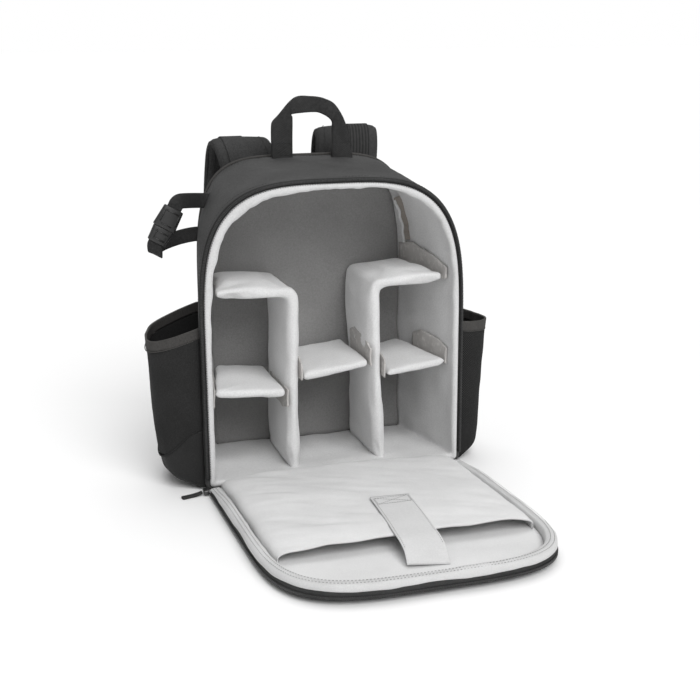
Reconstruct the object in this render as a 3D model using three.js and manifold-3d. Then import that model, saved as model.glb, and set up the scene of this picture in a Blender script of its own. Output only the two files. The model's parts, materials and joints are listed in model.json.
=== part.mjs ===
// A padded camera backpack that stands open: its D-shaped front flap is unzipped and lies on the floor.
// Units are millimetres. +Z is up, -Y is the opening's side, +X is the viewer's right.
// The origin is the middle of the flat base, at floor level.
import * as THREE from "three";
import { mergeVertices } from "three/addons/utils/BufferGeometryUtils.js";
import Module from "manifold-3d";

const wasm = await Module();
wasm.setup();

// Bag body
const BAG_WIDTH = 289;
const BAG_DEPTH = 126;
const FRONT_HEIGHT = 324;
const BACK_HEIGHT = 337;
const BACK_NARROWING = 20;
const ARCH_START = 155;
const FRONT_ARCH_POWER = 3.5;
const BACK_ARCH_POWER = 4.5;
const FOOT_RADIUS = 9;
const WALL = 9.5;
const LINING = 2;
const BACK_PANEL = 10;
const BACK_FACE_ROUND = 12;
const LIP = 2;
const GAP = 0.3;

// Zip along the opening
const TAPE_WIDTH = 4.5;
const TAPE_PROUD = 3;
const COIL_WIDTH = 2.5;
const COIL_HEIGHT = 1.2;
const ZIP_START = 14;

// Dividers and shelves inside
const PAD_THICKNESS = 12;
const PAD_ROUND = 4.5;
const PAD_RECESS = 8;
const BEND_RADIUS = 13;
const LEFT_DIVIDER_X = -41;
const LEFT_DIVIDER_LEAN = -3;
const LEFT_ARM_Z = 209;
const RIGHT_DIVIDER_X = 47;
const RIGHT_DIVIDER_LEAN = 8;
const RIGHT_ARM_Z = 212;
const LEFT_SHELF_Z = 103;
const LEFT_SHELF_RISE = -6;
const MIDDLE_SHELF_Z = 113;
const MIDDLE_SHELF_RISE = 9;
const RIGHT_SHELF_Z = 108;
const RIGHT_SHELF_RISE = 9;
const TAB_THICKNESS = 1.6;
const TAB_HEIGHT = 20;
const SEAM_BINDING_WIDTH = 6;
const SEAM_BINDING_LENGTH = 52;
const SEAM_BINDING_Z = 242;
const SEAM_BINDING_Y = 24;

// Flap on the floor
const FLAP_WIDTH = 279;
const FLAP_LENGTH = 297;
const FLAP_SHIFT = -2.9;
const FLAP_SKEW = 0.027;
const FLAP_ARCH_START = 148;
const FLAP_ARCH_POWER = 3.95;
const FLAP_PANEL = 5;
const FLAP_EDGE_LOW = 1.5;
const FLAP_EDGE_HIGH = 5;
const FLAP_CROWN_INSET = 30;
const RIM_HEIGHT = 7.5;
const RIM_RISE_LENGTH = 90;
const RIM_WALL = 2.4;
const BINDING_WIDTH = 7;
const FLAP_LINING = 1.5;

// Tablet pocket on the flap
const POCKET_START = 8;
const POCKET_MOUTH = 216;
const POCKET_PUFF = 16;
const POCKET_SHEET = 3;
const POCKET_MARGIN = 2;
const CLOSURE_WIDTH = 40;
const CLOSURE_THICKNESS = 2;
const CLOSURE_START = 134;
const CLOSURE_END = 263;
const CLOSURE_X = 12;

// Side pockets
const SIDE_POCKET_FRONT = 6;
const SIDE_POCKET_REAR = 16;
const SIDE_POCKET_BOTTOM = 3;
const SIDE_POCKET_SHEET = 2;
const HEM_HEIGHT = 11;
const HEM_PROUD = 0.9;
const LEFT_POCKET_BULGE = 59;
const LEFT_POCKET_TOP = 176;
const LEFT_POCKET_DROP = 19;
const LEFT_POCKET_SEAM = 66;
const LEFT_POCKET_SEAM_DROP = 42;
const RIGHT_POCKET_BULGE = 48;
const RIGHT_POCKET_TOP = 161;
const RIGHT_POCKET_DROP = 4;

// Tripod strap and its buckle
const TRIPOD_STRAP_WIDTH = 16;
const WEBBING = 2;
const TRIPOD_STRAP_Z = 295;
const TRIPOD_LOOP_REACH = 42;
const BUCKLE_LENGTH = 40;
const BUCKLE_WIDTH = 25;
const BUCKLE_THICKNESS = 8;

// Grab handle
const HANDLE_X = 7;
const HANDLE_SPAN = 91;
const HANDLE_RISE = 65;
const HANDLE_LEG = 23;
const HANDLE_GRIP = 17;
const HANDLE_THICKNESS = 3;
const HANDLE_FROM_REAR = 10;

// Shoulder straps
const LEFT_STRAP_X = 63;
const RIGHT_STRAP_X = 62;
const LEFT_STRAP_WIDTH = 64;
const RIGHT_STRAP_WIDTH = 71;
const STRAP_THICKNESS = 11;
const STRAP_TOP = 294;
const LEFT_STRAP_LIFT = 56;
const RIGHT_STRAP_LIFT = 66;
const STRAP_REACH = 54;
const STRAP_FALL = 168;
const STRAP_TOE_OUT = 26;
const LOWER_WEBBING_WIDTH = 25;
const LOWER_WEBBING_FOOT = 30;
const LOWER_WEBBING_INSET = 6;
const LADDER_WIDTH = 34;
const LADDER_HEIGHT = 26;
const LADDER_THICKNESS = 5;
const LADDER_BAR = 4;

// Zip slider and its woven pull
const SLIDER_LENGTH = 11;
const SLIDER_WIDTH = 6;
const SLIDER_HEIGHT = 5;
const PULL_LENGTH = 22;
const PULL_WIDTH = 6;
const PULL_THICKNESS = 2.4;

// Numbers of points that round stretches are drawn with
const ARCH_STEPS = 22;
const FOOT_STEPS = 3;
const POUCH_STEPS = 14;

const FRONT_Y = -BAG_DEPTH / 2;
const REAR_Y = BAG_DEPTH / 2;
const TUBE_REAR_Y = REAR_Y - BACK_PANEL;
const LINED = WALL + GAP + LINING;
const INNER = LINED + GAP;

// Fabric and plastic colours
const COLOURS = {
  shell: { color: 0x2b2b2c, roughness: 0.85 },
  lining: { color: 0xc4c4c6, roughness: 0.9 },
  webbing: { color: 0x1c1c1d, roughness: 0.8 },
  mesh: { color: 0x222223, roughness: 0.9 },
  zip: { color: 0x151516, roughness: 0.6 },
  plastic: { color: 0x18181a, roughness: 0.45 },
  metal: { color: 0x4a4a4c, roughness: 0.4, metalness: 0.8 },
};

const lerp = THREE.MathUtils.lerp;
const clamp01 = (value) => THREE.MathUtils.clamp(value, 0, 1);
const smooth = (value) => THREE.MathUtils.smoothstep(value, 0, 1);

// Solids and meshes

// Turns a closed geometry into a solid that can be cut and joined.
function solidOf(geometry) {
  const bare = new THREE.BufferGeometry();
  const flat = geometry.index ? geometry.toNonIndexed() : geometry;
  bare.setAttribute("position", flat.getAttribute("position"));
  const merged = mergeVertices(bare, 1e-4);
  return new wasm.Manifold(
    new wasm.Mesh({
      numProp: 3,
      vertProperties: new Float32Array(merged.attributes.position.array),
      triVerts: new Uint32Array(merged.index.array),
    }),
  );
}

// Turns a solid back into a geometry.
function geometryOf(solid) {
  const mesh = solid.getMesh();
  const geometry = new THREE.BufferGeometry();
  geometry.setAttribute("position", new THREE.BufferAttribute(mesh.vertProperties, 3));
  geometry.setIndex(new THREE.BufferAttribute(mesh.triVerts, 1));
  geometry.computeVertexNormals();
  return geometry;
}

// A closed solid through a row of rings that all have the same number of points.
function loft(rings) {
  const count = rings[0].length;
  const points = rings.flat();
  const faces = [];
  for (let r = 0; r + 1 < rings.length; r++) {
    for (let i = 0; i < count; i++) {
      const next = (i + 1) % count;
      const low = r * count;
      const high = low + count;
      faces.push(low + i, low + next, high + next, low + i, high + next, high + i);
    }
  }
  for (const [ring, offset, flip] of [[rings[0], 0, true], [rings.at(-1), points.length - count, false]]) {
    for (const [a, b, c] of capFaces(ring)) {
      faces.push(...(flip ? [offset + a, offset + c, offset + b] : [offset + a, offset + b, offset + c]));
    }
  }
  const geometry = new THREE.BufferGeometry().setFromPoints(points);
  geometry.setIndex(faces);
  const solid = solidOf(geometry);
  if (solid.volume() > 0) return solid;
  geometry.setIndex(faces.reverse());
  return solidOf(geometry);
}

// Triangles that close a flat ring, worked out in the ring's own plane.
function capFaces(ring) {
  const normal = new THREE.Vector3();
  ring.forEach((p, i) => normal.add(new THREE.Vector3().crossVectors(p, ring[(i + 1) % ring.length])));
  normal.normalize();
  const helper = Math.abs(normal.x) < 0.9 ? new THREE.Vector3(1, 0, 0) : new THREE.Vector3(0, 1, 0);
  const u = new THREE.Vector3().crossVectors(helper, normal).normalize();
  const v = new THREE.Vector3().crossVectors(normal, u);
  const flat = ring.map((p) => new THREE.Vector2(p.dot(u), p.dot(v)));
  return THREE.ShapeUtils.triangulateShape(flat, []);
}

function box(low, high) {
  const size = new THREE.Vector3().subVectors(high, low);
  const geometry = new THREE.BoxGeometry(size.x, size.y, size.z);
  const middle = new THREE.Vector3().addVectors(low, high).multiplyScalar(0.5);
  return solidOf(geometry.translate(middle.x, middle.y, middle.z));
}

const bag = new THREE.Group();
bag.name = "camera_backpack";

// Adds a named sub-part with its own material.
function add(name, solid, finish) {
  const material = new THREE.MeshStandardMaterial(COLOURS[finish]);
  const mesh = new THREE.Mesh(geometryOf(solid), material);
  mesh.name = name;
  bag.add(mesh);
}

// The D-shaped outline

// Points (x, along) of a D from its left foot round by the right side and the arch.
function outline({ width, height, archStart, power }, inset) {
  const half = width / 2 - inset;
  const floor = Math.max(inset, 0);
  const foot = Math.max(FOOT_RADIUS - floor, 1);
  const points = [];
  for (const side of [-1, 1]) {
    for (let i = 0; i <= FOOT_STEPS; i++) {
      const turn = ((side < 0 ? FOOT_STEPS - i : i) / FOOT_STEPS) * (Math.PI / 2);
      const x = side * (half - foot + foot * Math.sin(turn));
      points.push(new THREE.Vector2(x, floor + foot - foot * Math.cos(turn)));
    }
  }
  const rise = height - inset - archStart;
  for (let i = 0; i <= ARCH_STEPS; i++) {
    const angle = (i / ARCH_STEPS) * Math.PI;
    const across = Math.sign(Math.cos(angle)) * Math.abs(Math.cos(angle)) ** (2 / power);
    points.push(new THREE.Vector2(half * across, archStart + rise * Math.sin(angle) ** (2 / power)));
  }
  return points;
}

// Half of a D's width at a place along it, taken in by inset.
function halfWidthAt({ width, height, archStart, power }, along, inset) {
  const share = clamp01((along - archStart) / (height - inset - archStart));
  return (width / 2 - inset) * (1 - share ** power) ** (1 / power);
}

// The body narrows from the opening to the back: share of the depth, share of the narrowing.
const BODY_SECTIONS = [
  { depth: 0, narrow: 0 },
  { depth: 0.12, narrow: 0.06 },
  { depth: 0.4, narrow: 0.34 },
  { depth: 0.7, narrow: 0.67 },
  { depth: 0.92, narrow: 0.93 },
  { depth: 1, narrow: 1.12 },
];

// The D of the body at a share of its depth, and its place along Y.
function bodyShape({ depth, narrow }) {
  return {
    width: BAG_WIDTH - 2 * BACK_NARROWING * narrow,
    height: lerp(FRONT_HEIGHT, BACK_HEIGHT, Math.min(1, narrow)),
    archStart: ARCH_START,
    power: lerp(FRONT_ARCH_POWER, BACK_ARCH_POWER, depth),
    y: lerp(FRONT_Y, TUBE_REAR_Y, depth),
  };
}

const FRONT_SHAPE = bodyShape(BODY_SECTIONS[0]);
const REAR_SHAPE = bodyShape(BODY_SECTIONS.at(-1));

// The D of the body at a place along Y, between its sections.
function shapeAt(y) {
  const depth = clamp01((y - FRONT_Y) / (TUBE_REAR_Y - FRONT_Y));
  const next = Math.max(1, BODY_SECTIONS.findIndex((section) => section.depth >= depth));
  const [a, b] = [BODY_SECTIONS[next - 1], BODY_SECTIONS[next]];
  const share = (depth - a.depth) / (b.depth - a.depth);
  return bodyShape({ depth, narrow: lerp(a.narrow, b.narrow, share) });
}

function ringOf(shape, inset, y = shape.y) {
  return outline(shape, inset).map((p) => new THREE.Vector3(p.x, y, p.y));
}

// The body's filled form, taken in by inset, reaching past its two ends by the given lengths.
function bodyForm(inset, beforeFront = 0, pastRear = 0) {
  const rings = BODY_SECTIONS.map((section) => ringOf(bodyShape(section), inset));
  if (beforeFront > 0) rings.unshift(ringOf(FRONT_SHAPE, inset, FRONT_Y - beforeFront));
  if (pastRear > 0) rings.push(ringOf(REAR_SHAPE, inset, TUBE_REAR_Y + pastRear));
  return loft(rings);
}

// Body wall, back panel and linings

function buildBody() {
  add("body_wall", bodyForm(0).subtract(bodyForm(WALL, LIP, LIP)), "shell");

  const panelSections = [
    { y: TUBE_REAR_Y + GAP, inset: 0 },
    { y: lerp(TUBE_REAR_Y, REAR_Y, 0.55), inset: 0 },
    { y: REAR_Y, inset: BACK_FACE_ROUND },
  ];
  add("back_panel", loft(panelSections.map(({ y, inset }) => ringOf(REAR_SHAPE, inset, y))), "shell");

  const skin = bodyForm(WALL + GAP, LIP).subtract(bodyForm(LINED, 2 * LIP, LIP));
  const discRing = (inset, ahead) => ringOf(FRONT_SHAPE, inset, FRONT_Y - ahead);
  const disc = (inset, from, to) => loft([discRing(inset, from), discRing(inset, to)]);
  const lip = disc(TAPE_WIDTH + GAP, LIP, GAP).subtract(disc(LINED, 2 * LIP, -LIP));
  add("lining_wall", skin.add(lip), "lining");

  const back = [LINING + GAP, GAP].map((ahead) => ringOf(REAR_SHAPE, INNER, TUBE_REAR_Y - ahead));
  add("lining_back", loft(back), "lining");
}

// A strip that runs up one side of a D, round its arch and down the other side.
// Corners is a ring of (inset, offset) pairs, and place turns them into points.
function archStrip(corners, shape, foot, place) {
  const start = 2 * (FOOT_STEPS + 1);
  const ringAt = (pick) => corners.map(([inset, offset]) => place(pick(inset), offset));
  const footAt = (side, along) => (inset) => new THREE.Vector2(side * (shape.width / 2 - inset), along);
  const middle = lerp(foot, shape.archStart, 0.5);
  const archAt = (i) => ringAt((inset) => outline(shape, inset)[start + i]);
  const arch = Array.from({ length: ARCH_STEPS + 1 }, (_, i) => archAt(i));
  const right = [ringAt(footAt(1, foot)), ringAt(footAt(1, middle))];
  const left = [ringAt(footAt(-1, middle)), ringAt(footAt(-1, foot))];
  return loft([...right, ...arch, ...left]);
}

function buildBodyZip() {
  const ahead = (p, offset) => new THREE.Vector3(p.x, FRONT_Y - offset, p.y);
  const tape = [[0, GAP], [0, TAPE_PROUD], [TAPE_WIDTH, TAPE_PROUD], [TAPE_WIDTH, GAP]];
  add("zip_tape_body", archStrip(tape, FRONT_SHAPE, ZIP_START, ahead), "zip");
  const outer = (TAPE_WIDTH - COIL_WIDTH) / 2;
  const near = TAPE_PROUD + GAP;
  const far = near + COIL_HEIGHT;
  const coil = [[outer, near], [outer, far], [outer + COIL_WIDTH, far], [outer + COIL_WIDTH, near]];
  add("zip_coil_body", archStrip(coil, FRONT_SHAPE, ZIP_START, ahead), "zip");
}

// Padded dividers, shelves and their fastening tabs

const PAD_FRONT_Y = FRONT_Y + PAD_RECESS;
const PAD_REAR_Y = TUBE_REAR_Y - LINING - 2 * GAP;

// Half of the free width inside the lining at a place along Y and a height.
function roomAt(y, z) {
  return halfWidthAt(shapeAt(y), z, INNER);
}

// A rounded rectangle as a ring of (along, across) pairs.
function roundedBar(alongLow, alongHigh, acrossLow, acrossHigh, radius) {
  const r = Math.min(radius, (acrossHigh - acrossLow) / 2.05, (alongHigh - alongLow) / 2.05);
  const corners = [
    [alongHigh - r, acrossHigh - r, 0],
    [alongLow + r, acrossHigh - r, 1],
    [alongLow + r, acrossLow + r, 2],
    [alongHigh - r, acrossLow + r, 3],
  ];
  return corners.flatMap(([along, across, quarter]) =>
    [0, 0.5, 1].map((part) => {
      const angle = ((quarter + part) * Math.PI) / 2;
      return [along + r * Math.cos(angle), across + r * Math.sin(angle)];
    }),
  );
}

// Dividers: the foot leans out by lean, and the top folds over to side as an arm that reaches the wall.
const DIVIDERS = {
  left: { x: LEFT_DIVIDER_X, lean: LEFT_DIVIDER_LEAN, side: -1, armZ: LEFT_ARM_Z },
  right: { x: RIGHT_DIVIDER_X, lean: RIGHT_DIVIDER_LEAN, side: 1, armZ: RIGHT_ARM_Z },
};
const HALF_PAD = PAD_THICKNESS / 2;

// The middle of a divider's upright at a height.
function dividerX({ x, lean, armZ }, z) {
  return x + lean * (1 - (z - INNER) / (armZ - INNER));
}

// Upright, bend and arm of a divider in one padded piece.
function divider(shape) {
  const { x, side, armZ } = shape;
  const turn = BEND_RADIUS - HALF_PAD;
  const bendZ = armZ - turn;
  const route = [INNER + HALF_PAD * 0.1, lerp(INNER, bendZ, 0.5), bendZ].map((z) => ({
    x: dividerX(shape, z),
    z,
    tilt: 0,
  }));
  for (const share of [0.33, 0.67, 1]) {
    const angle = (share * Math.PI) / 2;
    route.push({
      x: x + side * turn * (1 - Math.cos(angle)),
      z: bendZ + turn * Math.sin(angle),
      tilt: angle,
    });
  }
  const endInset = TAB_THICKNESS + 2 * GAP;
  const rings = route.map(({ x: centre, z, tilt }) =>
    roundedBar(PAD_FRONT_Y, PAD_REAR_Y, -HALF_PAD, HALF_PAD, PAD_ROUND).map(
      ([y, across]) =>
        new THREE.Vector3(centre - side * across * Math.cos(tilt), y, z + across * Math.sin(tilt)),
    ),
  );
  const end = roundedBar(PAD_FRONT_Y, PAD_REAR_Y, -HALF_PAD, HALF_PAD, PAD_ROUND).map(([y, across]) => {
    const wall = roomAt(y, armZ + HALF_PAD + TAB_HEIGHT / 2) - endInset;
    return new THREE.Vector3(side * wall, y, armZ + across);
  });
  return loft([...rings, end]);
}

// The free width of a column at a place, between walls or dividers.
function columnEdges(column, y, z) {
  const face = (shape, side) => dividerX(shape, z) + side * (HALF_PAD + GAP);
  if (column === 0) return [-roomAt(y, z), face(DIVIDERS.left, -1)];
  if (column === 1) return [face(DIVIDERS.left, 1), face(DIVIDERS.right, -1)];
  return [face(DIVIDERS.right, 1), roomAt(y, z)];
}

// Shelf sections from front to rear: place along the depth, and share of the thickness.
const SHELF_SECTIONS = [
  { inFromFront: 0, thick: 0.5 },
  { inFromFront: 1.4, thick: 0.85 },
  { inFromFront: PAD_ROUND, thick: 1 },
  { inFromRear: PAD_ROUND, thick: 1 },
  { inFromRear: 0, thick: 0.7 },
];

// A shelf lies between the two edges of its column, and its ends have their own heights.
function shelf(column, zLow, zHigh) {
  const endInset = TAB_THICKNESS + 2 * GAP;
  const rings = SHELF_SECTIONS.map(({ inFromFront, inFromRear, thick }) => {
    const y = inFromFront === undefined ? PAD_REAR_Y - inFromRear : PAD_FRONT_Y + inFromFront;
    const half = HALF_PAD * thick;
    const spans = [-HALF_PAD, HALF_PAD].flatMap((rise) => [zLow + rise, zHigh + rise]);
    const edges = spans.map((z) => columnEdges(column, y, z));
    const low = Math.max(...edges.map((edge) => edge[0])) + endInset;
    const high = Math.min(...edges.map((edge) => edge[1])) - endInset;
    return roundedBar(low, high, -half, half, PAD_ROUND).map(
      ([x, across]) => new THREE.Vector3(x, y, lerp(zLow, zHigh, (x - low) / (high - low)) + across),
    );
  });
  return loft(rings);
}

// A tab is a thin stiff strip that stands up or hangs down against a wall at a shelf's end.
function tab({ column, edge, z, up, front, rear, depth }) {
  const side = edge === 0 ? 1 : -1;
  const sections = [0, 0.3, 0.75, 1].map((share) => ({
    y: lerp(PAD_FRONT_Y + PAD_ROUND / 2, PAD_REAR_Y, share * depth),
    reach: TAB_HEIGHT * lerp(front, rear, share) * (share === 0 || share === 1 ? 0.7 : 1),
  }));
  const rings = sections.map(({ y, reach }) => {
    const root = z - up * HALF_PAD * 0.6;
    const tip = z + up * reach;
    const faces = [root, tip].map((height) => {
      const wall = columnEdges(column, y, height)[edge];
      const skins = [wall + side * GAP, wall + side * (GAP + TAB_THICKNESS)];
      return skins.map((x) => new THREE.Vector3(x, y, height));
    });
    return [faces[0][0], faces[0][1], faces[1][1], faces[1][0]];
  });
  return loft(rings);
}

// Shelves by column: heights of the left and right end.
const SHELVES = [
  { name: "left", column: 0, left: LEFT_SHELF_Z, right: LEFT_SHELF_Z + LEFT_SHELF_RISE },
  { name: "middle", column: 1, left: MIDDLE_SHELF_Z, right: MIDDLE_SHELF_Z + MIDDLE_SHELF_RISE },
  { name: "right", column: 2, left: RIGHT_SHELF_Z, right: RIGHT_SHELF_Z + RIGHT_SHELF_RISE },
];
const [LEFT_SHELF, MIDDLE_SHELF, RIGHT_SHELF] = SHELVES;

// Tabs: column, its edge (0 left, 1 right), height of the shelf there, which way it turns (1 up, -1 down),
// its reach at the front and the rear as a share of the tab height, and its share of the depth.
const TABS = [
  { name: "arm_left", column: 0, edge: 0, z: LEFT_ARM_Z, up: 1, front: 0.8, rear: 0.9, depth: 0.78 },
  { name: "arm_right", column: 2, edge: 1, z: RIGHT_ARM_Z, up: 1, front: 0.7, rear: 1.6, depth: 0.97 },
  { name: "left_wall", column: 0, edge: 0, z: LEFT_SHELF.left, up: -1, front: 1.1, rear: 1, depth: 0.78 },
  { name: "left_divider", column: 0, edge: 1, z: LEFT_SHELF.right, up: -1, front: 1.1, rear: 1, depth: 0.78 },
  { name: "middle_left", column: 1, edge: 0, z: MIDDLE_SHELF.left, up: 1, front: 1.1, rear: 1, depth: 0.7 },
  {
    name: "middle_right",
    column: 1,
    edge: 1,
    z: MIDDLE_SHELF.right,
    up: 1,
    front: 1.1,
    rear: 1.5,
    depth: 0.72,
  },
  { name: "right_divider", column: 2, edge: 0, z: RIGHT_SHELF.left, up: 1, front: 1.2, rear: 1, depth: 0.7 },
  { name: "right_wall", column: 2, edge: 1, z: RIGHT_SHELF.right, up: 1, front: 1, rear: 1.2, depth: 0.7 },
];

// The binding is a strip up the right wall's lining, near the back.
function seamBinding() {
  const steps = 4;
  const rings = Array.from({ length: steps + 1 }, (_, i) => {
    const z = SEAM_BINDING_Z + (SEAM_BINDING_LENGTH * i) / steps;
    const edges = [SEAM_BINDING_Y, SEAM_BINDING_Y + SEAM_BINDING_WIDTH];
    const room = Math.min(...edges.map((y) => roomAt(y, z))) - GAP;
    const [near, far] = edges;
    return [
      [room - LINING, near],
      [room, near],
      [room, far],
      [room - LINING, far],
    ].map(([x, y]) => new THREE.Vector3(x, y, z));
  });
  return loft(rings);
}

function buildInterior() {
  for (const [name, shape] of Object.entries(DIVIDERS)) {
    add(`divider_${name}`, divider(shape), "lining");
  }
  for (const { name, column, left, right } of SHELVES) {
    add(`shelf_${name}`, shelf(column, left, right), "lining");
  }
  for (const row of TABS) {
    add(`tab_${row.name}`, tab(row), "lining");
  }
  add("seam_binding", seamBinding(), "lining");
}

// Flap

// Height of the flap's lower edge, which rises towards the free end.
function flapEdge(along) {
  return lerp(FLAP_EDGE_LOW, FLAP_EDGE_HIGH, along / FLAP_LENGTH);
}

const FLAP_HINGE_Y = FRONT_Y - LIP - 2 * GAP;
const FLAP_SHAPE = {
  width: FLAP_WIDTH,
  height: FLAP_LENGTH,
  archStart: FLAP_ARCH_START,
  power: FLAP_ARCH_POWER,
};

// A point of the flap: across, along from the hinge, and a height above the edge line.
function flapPoint(across, along, above) {
  return new THREE.Vector3(
    across + FLAP_SHIFT + FLAP_SKEW * along,
    FLAP_HINGE_Y - along,
    flapEdge(along) + above,
  );
}

// How far the rim has risen at a distance from the hinge.
function rimHeight(along) {
  return RIM_HEIGHT * lerp(0.25, 1, smooth(along / RIM_RISE_LENGTH));
}

function buildFlap() {
  const ringAt = (inset, above, edgeShare = 1) =>
    outline(FLAP_SHAPE, inset).map((p) => {
      const point = flapPoint(p.x, p.y, above);
      point.z -= flapEdge(p.y) * (1 - edgeShare);
      return point;
    });
  const rings = [
    ringAt(FLAP_CROWN_INSET, 0, 0),
    ringAt(FLAP_CROWN_INSET / 4, 0, 0.4),
    ringAt(0, 0),
    ringAt(0, FLAP_PANEL),
  ];
  add("flap_panel", loft(rings), "shell");

  const place = (p, offset) => flapPoint(p.x, p.y, FLAP_PANEL + GAP + offset * rimHeight(p.y));
  const rim = [[0, 0], [0, 1], [RIM_WALL, 1], [RIM_WALL, 0]];
  add("flap_rim", archStrip(rim, FLAP_SHAPE, ZIP_START, place), "zip");

  const coil = [
    [-COIL_HEIGHT - GAP, GAP],
    [-COIL_HEIGHT - GAP, GAP + COIL_WIDTH],
    [-GAP, GAP + COIL_WIDTH],
    [-GAP, GAP],
  ];
  const beside = (p, offset) => flapPoint(p.x, p.y, offset);
  add("zip_coil_flap", archStrip(coil, FLAP_SHAPE, ZIP_START, beside), "zip");

  const inner = RIM_WALL + GAP;
  const roll = [
    [inner, 0],
    [inner, 0.9],
    [inner + BINDING_WIDTH * 0.25, 1.15],
    [inner + BINDING_WIDTH * 0.7, 1.15],
    [inner + BINDING_WIDTH, 0.8],
    [inner + BINDING_WIDTH, 0],
  ];
  add("flap_binding", archStrip(roll, FLAP_SHAPE, ZIP_START, place), "lining");

  const liningInset = inner + BINDING_WIDTH + GAP;
  const liningLow = FLAP_PANEL + GAP;
  const lining = [liningLow, liningLow + FLAP_LINING].map((above) => ringAt(liningInset, above));
  add("flap_lining", loft(lining), "lining");
}

// Height of the pocket's outer face above the flap lining: share of its length, share of its puff.
const POCKET_SECTIONS = [
  { length: 0, puff: 0.5 },
  { length: 0.05, puff: 0.82 },
  { length: 0.14, puff: 0.96 },
  { length: 0.55, puff: 1 },
  { length: 0.88, puff: 0.96 },
  { length: 1, puff: 0.86 },
];
const POCKET_BASE = FLAP_PANEL + 2 * GAP + FLAP_LINING;

// One section across the pocket: a low dome with full shoulders.
function pocketRing(along, puff, shrink, drop) {
  const margin = RIM_WALL + GAP + BINDING_WIDTH + 2 * GAP + POCKET_MARGIN;
  const half = halfWidthAt(FLAP_SHAPE, along, margin) - shrink;
  const top = puff - shrink;
  const steps = 12;
  const ring = [];
  for (let i = 0; i <= steps; i++) {
    const angle = (i / steps) * Math.PI;
    const across = Math.sign(Math.cos(angle)) * Math.abs(Math.cos(angle)) ** 0.35;
    ring.push(flapPoint(half * across, along, POCKET_BASE + top * Math.sin(angle) ** 0.5));
  }
  ring.push(flapPoint(-half, along, POCKET_BASE - drop), flapPoint(half, along, POCKET_BASE - drop));
  return ring;
}

function buildPocket() {
  const span = POCKET_MOUTH - POCKET_START;
  const outer = POCKET_SECTIONS.map(({ length, puff }) =>
    pocketRing(POCKET_START + span * length, POCKET_PUFF * puff, 0, 0.001),
  );
  const inner = POCKET_SECTIONS.map(({ length, puff }, i) => {
    const first = i === 0 ? POCKET_SHEET : 0;
    const last = i === POCKET_SECTIONS.length - 1 ? POCKET_SHEET : 0;
    return pocketRing(POCKET_START + span * length + first + last, POCKET_PUFF * puff, POCKET_SHEET, 1);
  });
  add("flap_pocket", loft(outer).subtract(loft(inner)), "lining");

  // The closure strip lies on the pocket, crosses its mouth and goes down to the lining.
  const puffAt = (along) => {
    const share = clamp01((along - POCKET_START) / span);
    const next = Math.max(1, POCKET_SECTIONS.findIndex((s) => s.length >= share));
    const a = POCKET_SECTIONS[next - 1];
    const b = POCKET_SECTIONS[next];
    return POCKET_PUFF * lerp(a.puff, b.puff, (share - a.length) / (b.length - a.length));
  };
  const afterMouth = CLOSURE_END - POCKET_MOUTH;
  const crest = puffAt(POCKET_MOUTH);
  const stations = [
    ...[0, 0.35, 0.7, 1].map((share) => {
      const along = lerp(CLOSURE_START, POCKET_MOUTH, share);
      return { along, above: puffAt(along) + GAP * 2 };
    }),
    { along: POCKET_MOUTH + afterMouth * 0.35, above: crest * 0.94 },
    { along: POCKET_MOUTH + afterMouth * 0.68, above: crest * 0.68 },
    { along: POCKET_MOUTH + afterMouth * 0.86, above: crest * 0.34 },
    { along: CLOSURE_END, above: GAP },
  ];
  const rings = stations.map(({ along, above }, i) => {
    const centre = lerp(CLOSURE_X, 0, i / (stations.length - 1));
    const before = stations[Math.max(0, i - 1)];
    const after = stations[Math.min(stations.length - 1, i + 1)];
    const run = after.along - before.along;
    const fall = before.above - after.above;
    const length = Math.hypot(run, fall);
    const out = [(CLOSURE_THICKNESS * fall) / length, (CLOSURE_THICKNESS * run) / length];
    return [
      [centre - CLOSURE_WIDTH / 2, 0],
      [centre + CLOSURE_WIDTH / 2, 0],
      [centre + CLOSURE_WIDTH / 2, 1],
      [centre - CLOSURE_WIDTH / 2, 1],
    ].map(([x, k]) => flapPoint(x, along + out[0] * k, POCKET_BASE + above + out[1] * k));
  });
  add("closure_strap", loft(rings), "lining");
}

// Side pockets

// Pouch sections: share of the pouch's height, share of its bulge.
const POUCH_SECTIONS = [
  { height: 0, bulge: 0.2 },
  { height: 0.045, bulge: 0.6 },
  { height: 0.11, bulge: 0.77 },
  { height: 0.5, bulge: 0.9 },
  { height: 1, bulge: 1 },
];
const POUCH_ROUNDNESS = 2.5;
const POUCH_FRONT_Y = FRONT_Y + SIDE_POCKET_FRONT;
const POUCH_REAR_Y = TUBE_REAR_Y - SIDE_POCKET_REAR + BACK_PANEL;

// The filled form of a pouch on one side, taken in by inset.
function pouchForm(side, bulge, top, inset, extra) {
  const front = POUCH_FRONT_Y + inset;
  const rear = POUCH_REAR_Y - inset;
  const wallAt = (y) => shapeAt(y).width / 2;
  const rings = POUCH_SECTIONS.map((section) => {
    const reach = bulge * section.bulge - inset;
    const bottom = SIDE_POCKET_BOTTOM + (section.height === 0 ? inset : 0);
    const z = lerp(bottom, top + extra, section.height);
    const ring = [new THREE.Vector3(side * (wallAt(front) - WALL / 2), front, z)];
    for (let i = 0; i <= POUCH_STEPS; i++) {
      const eased = Math.sin(((i / POUCH_STEPS) * 2 - 1) * (Math.PI / 2));
      const out = (1 - Math.abs(eased) ** POUCH_ROUNDNESS) ** (1 / POUCH_ROUNDNESS);
      const y = lerp(front, rear, (eased + 1) / 2);
      ring.push(new THREE.Vector3(side * (wallAt(y) + reach * out), y, z));
    }
    ring.push(new THREE.Vector3(side * (wallAt(rear) - WALL / 2), rear, z));
    return ring;
  });
  return loft(rings);
}

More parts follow.
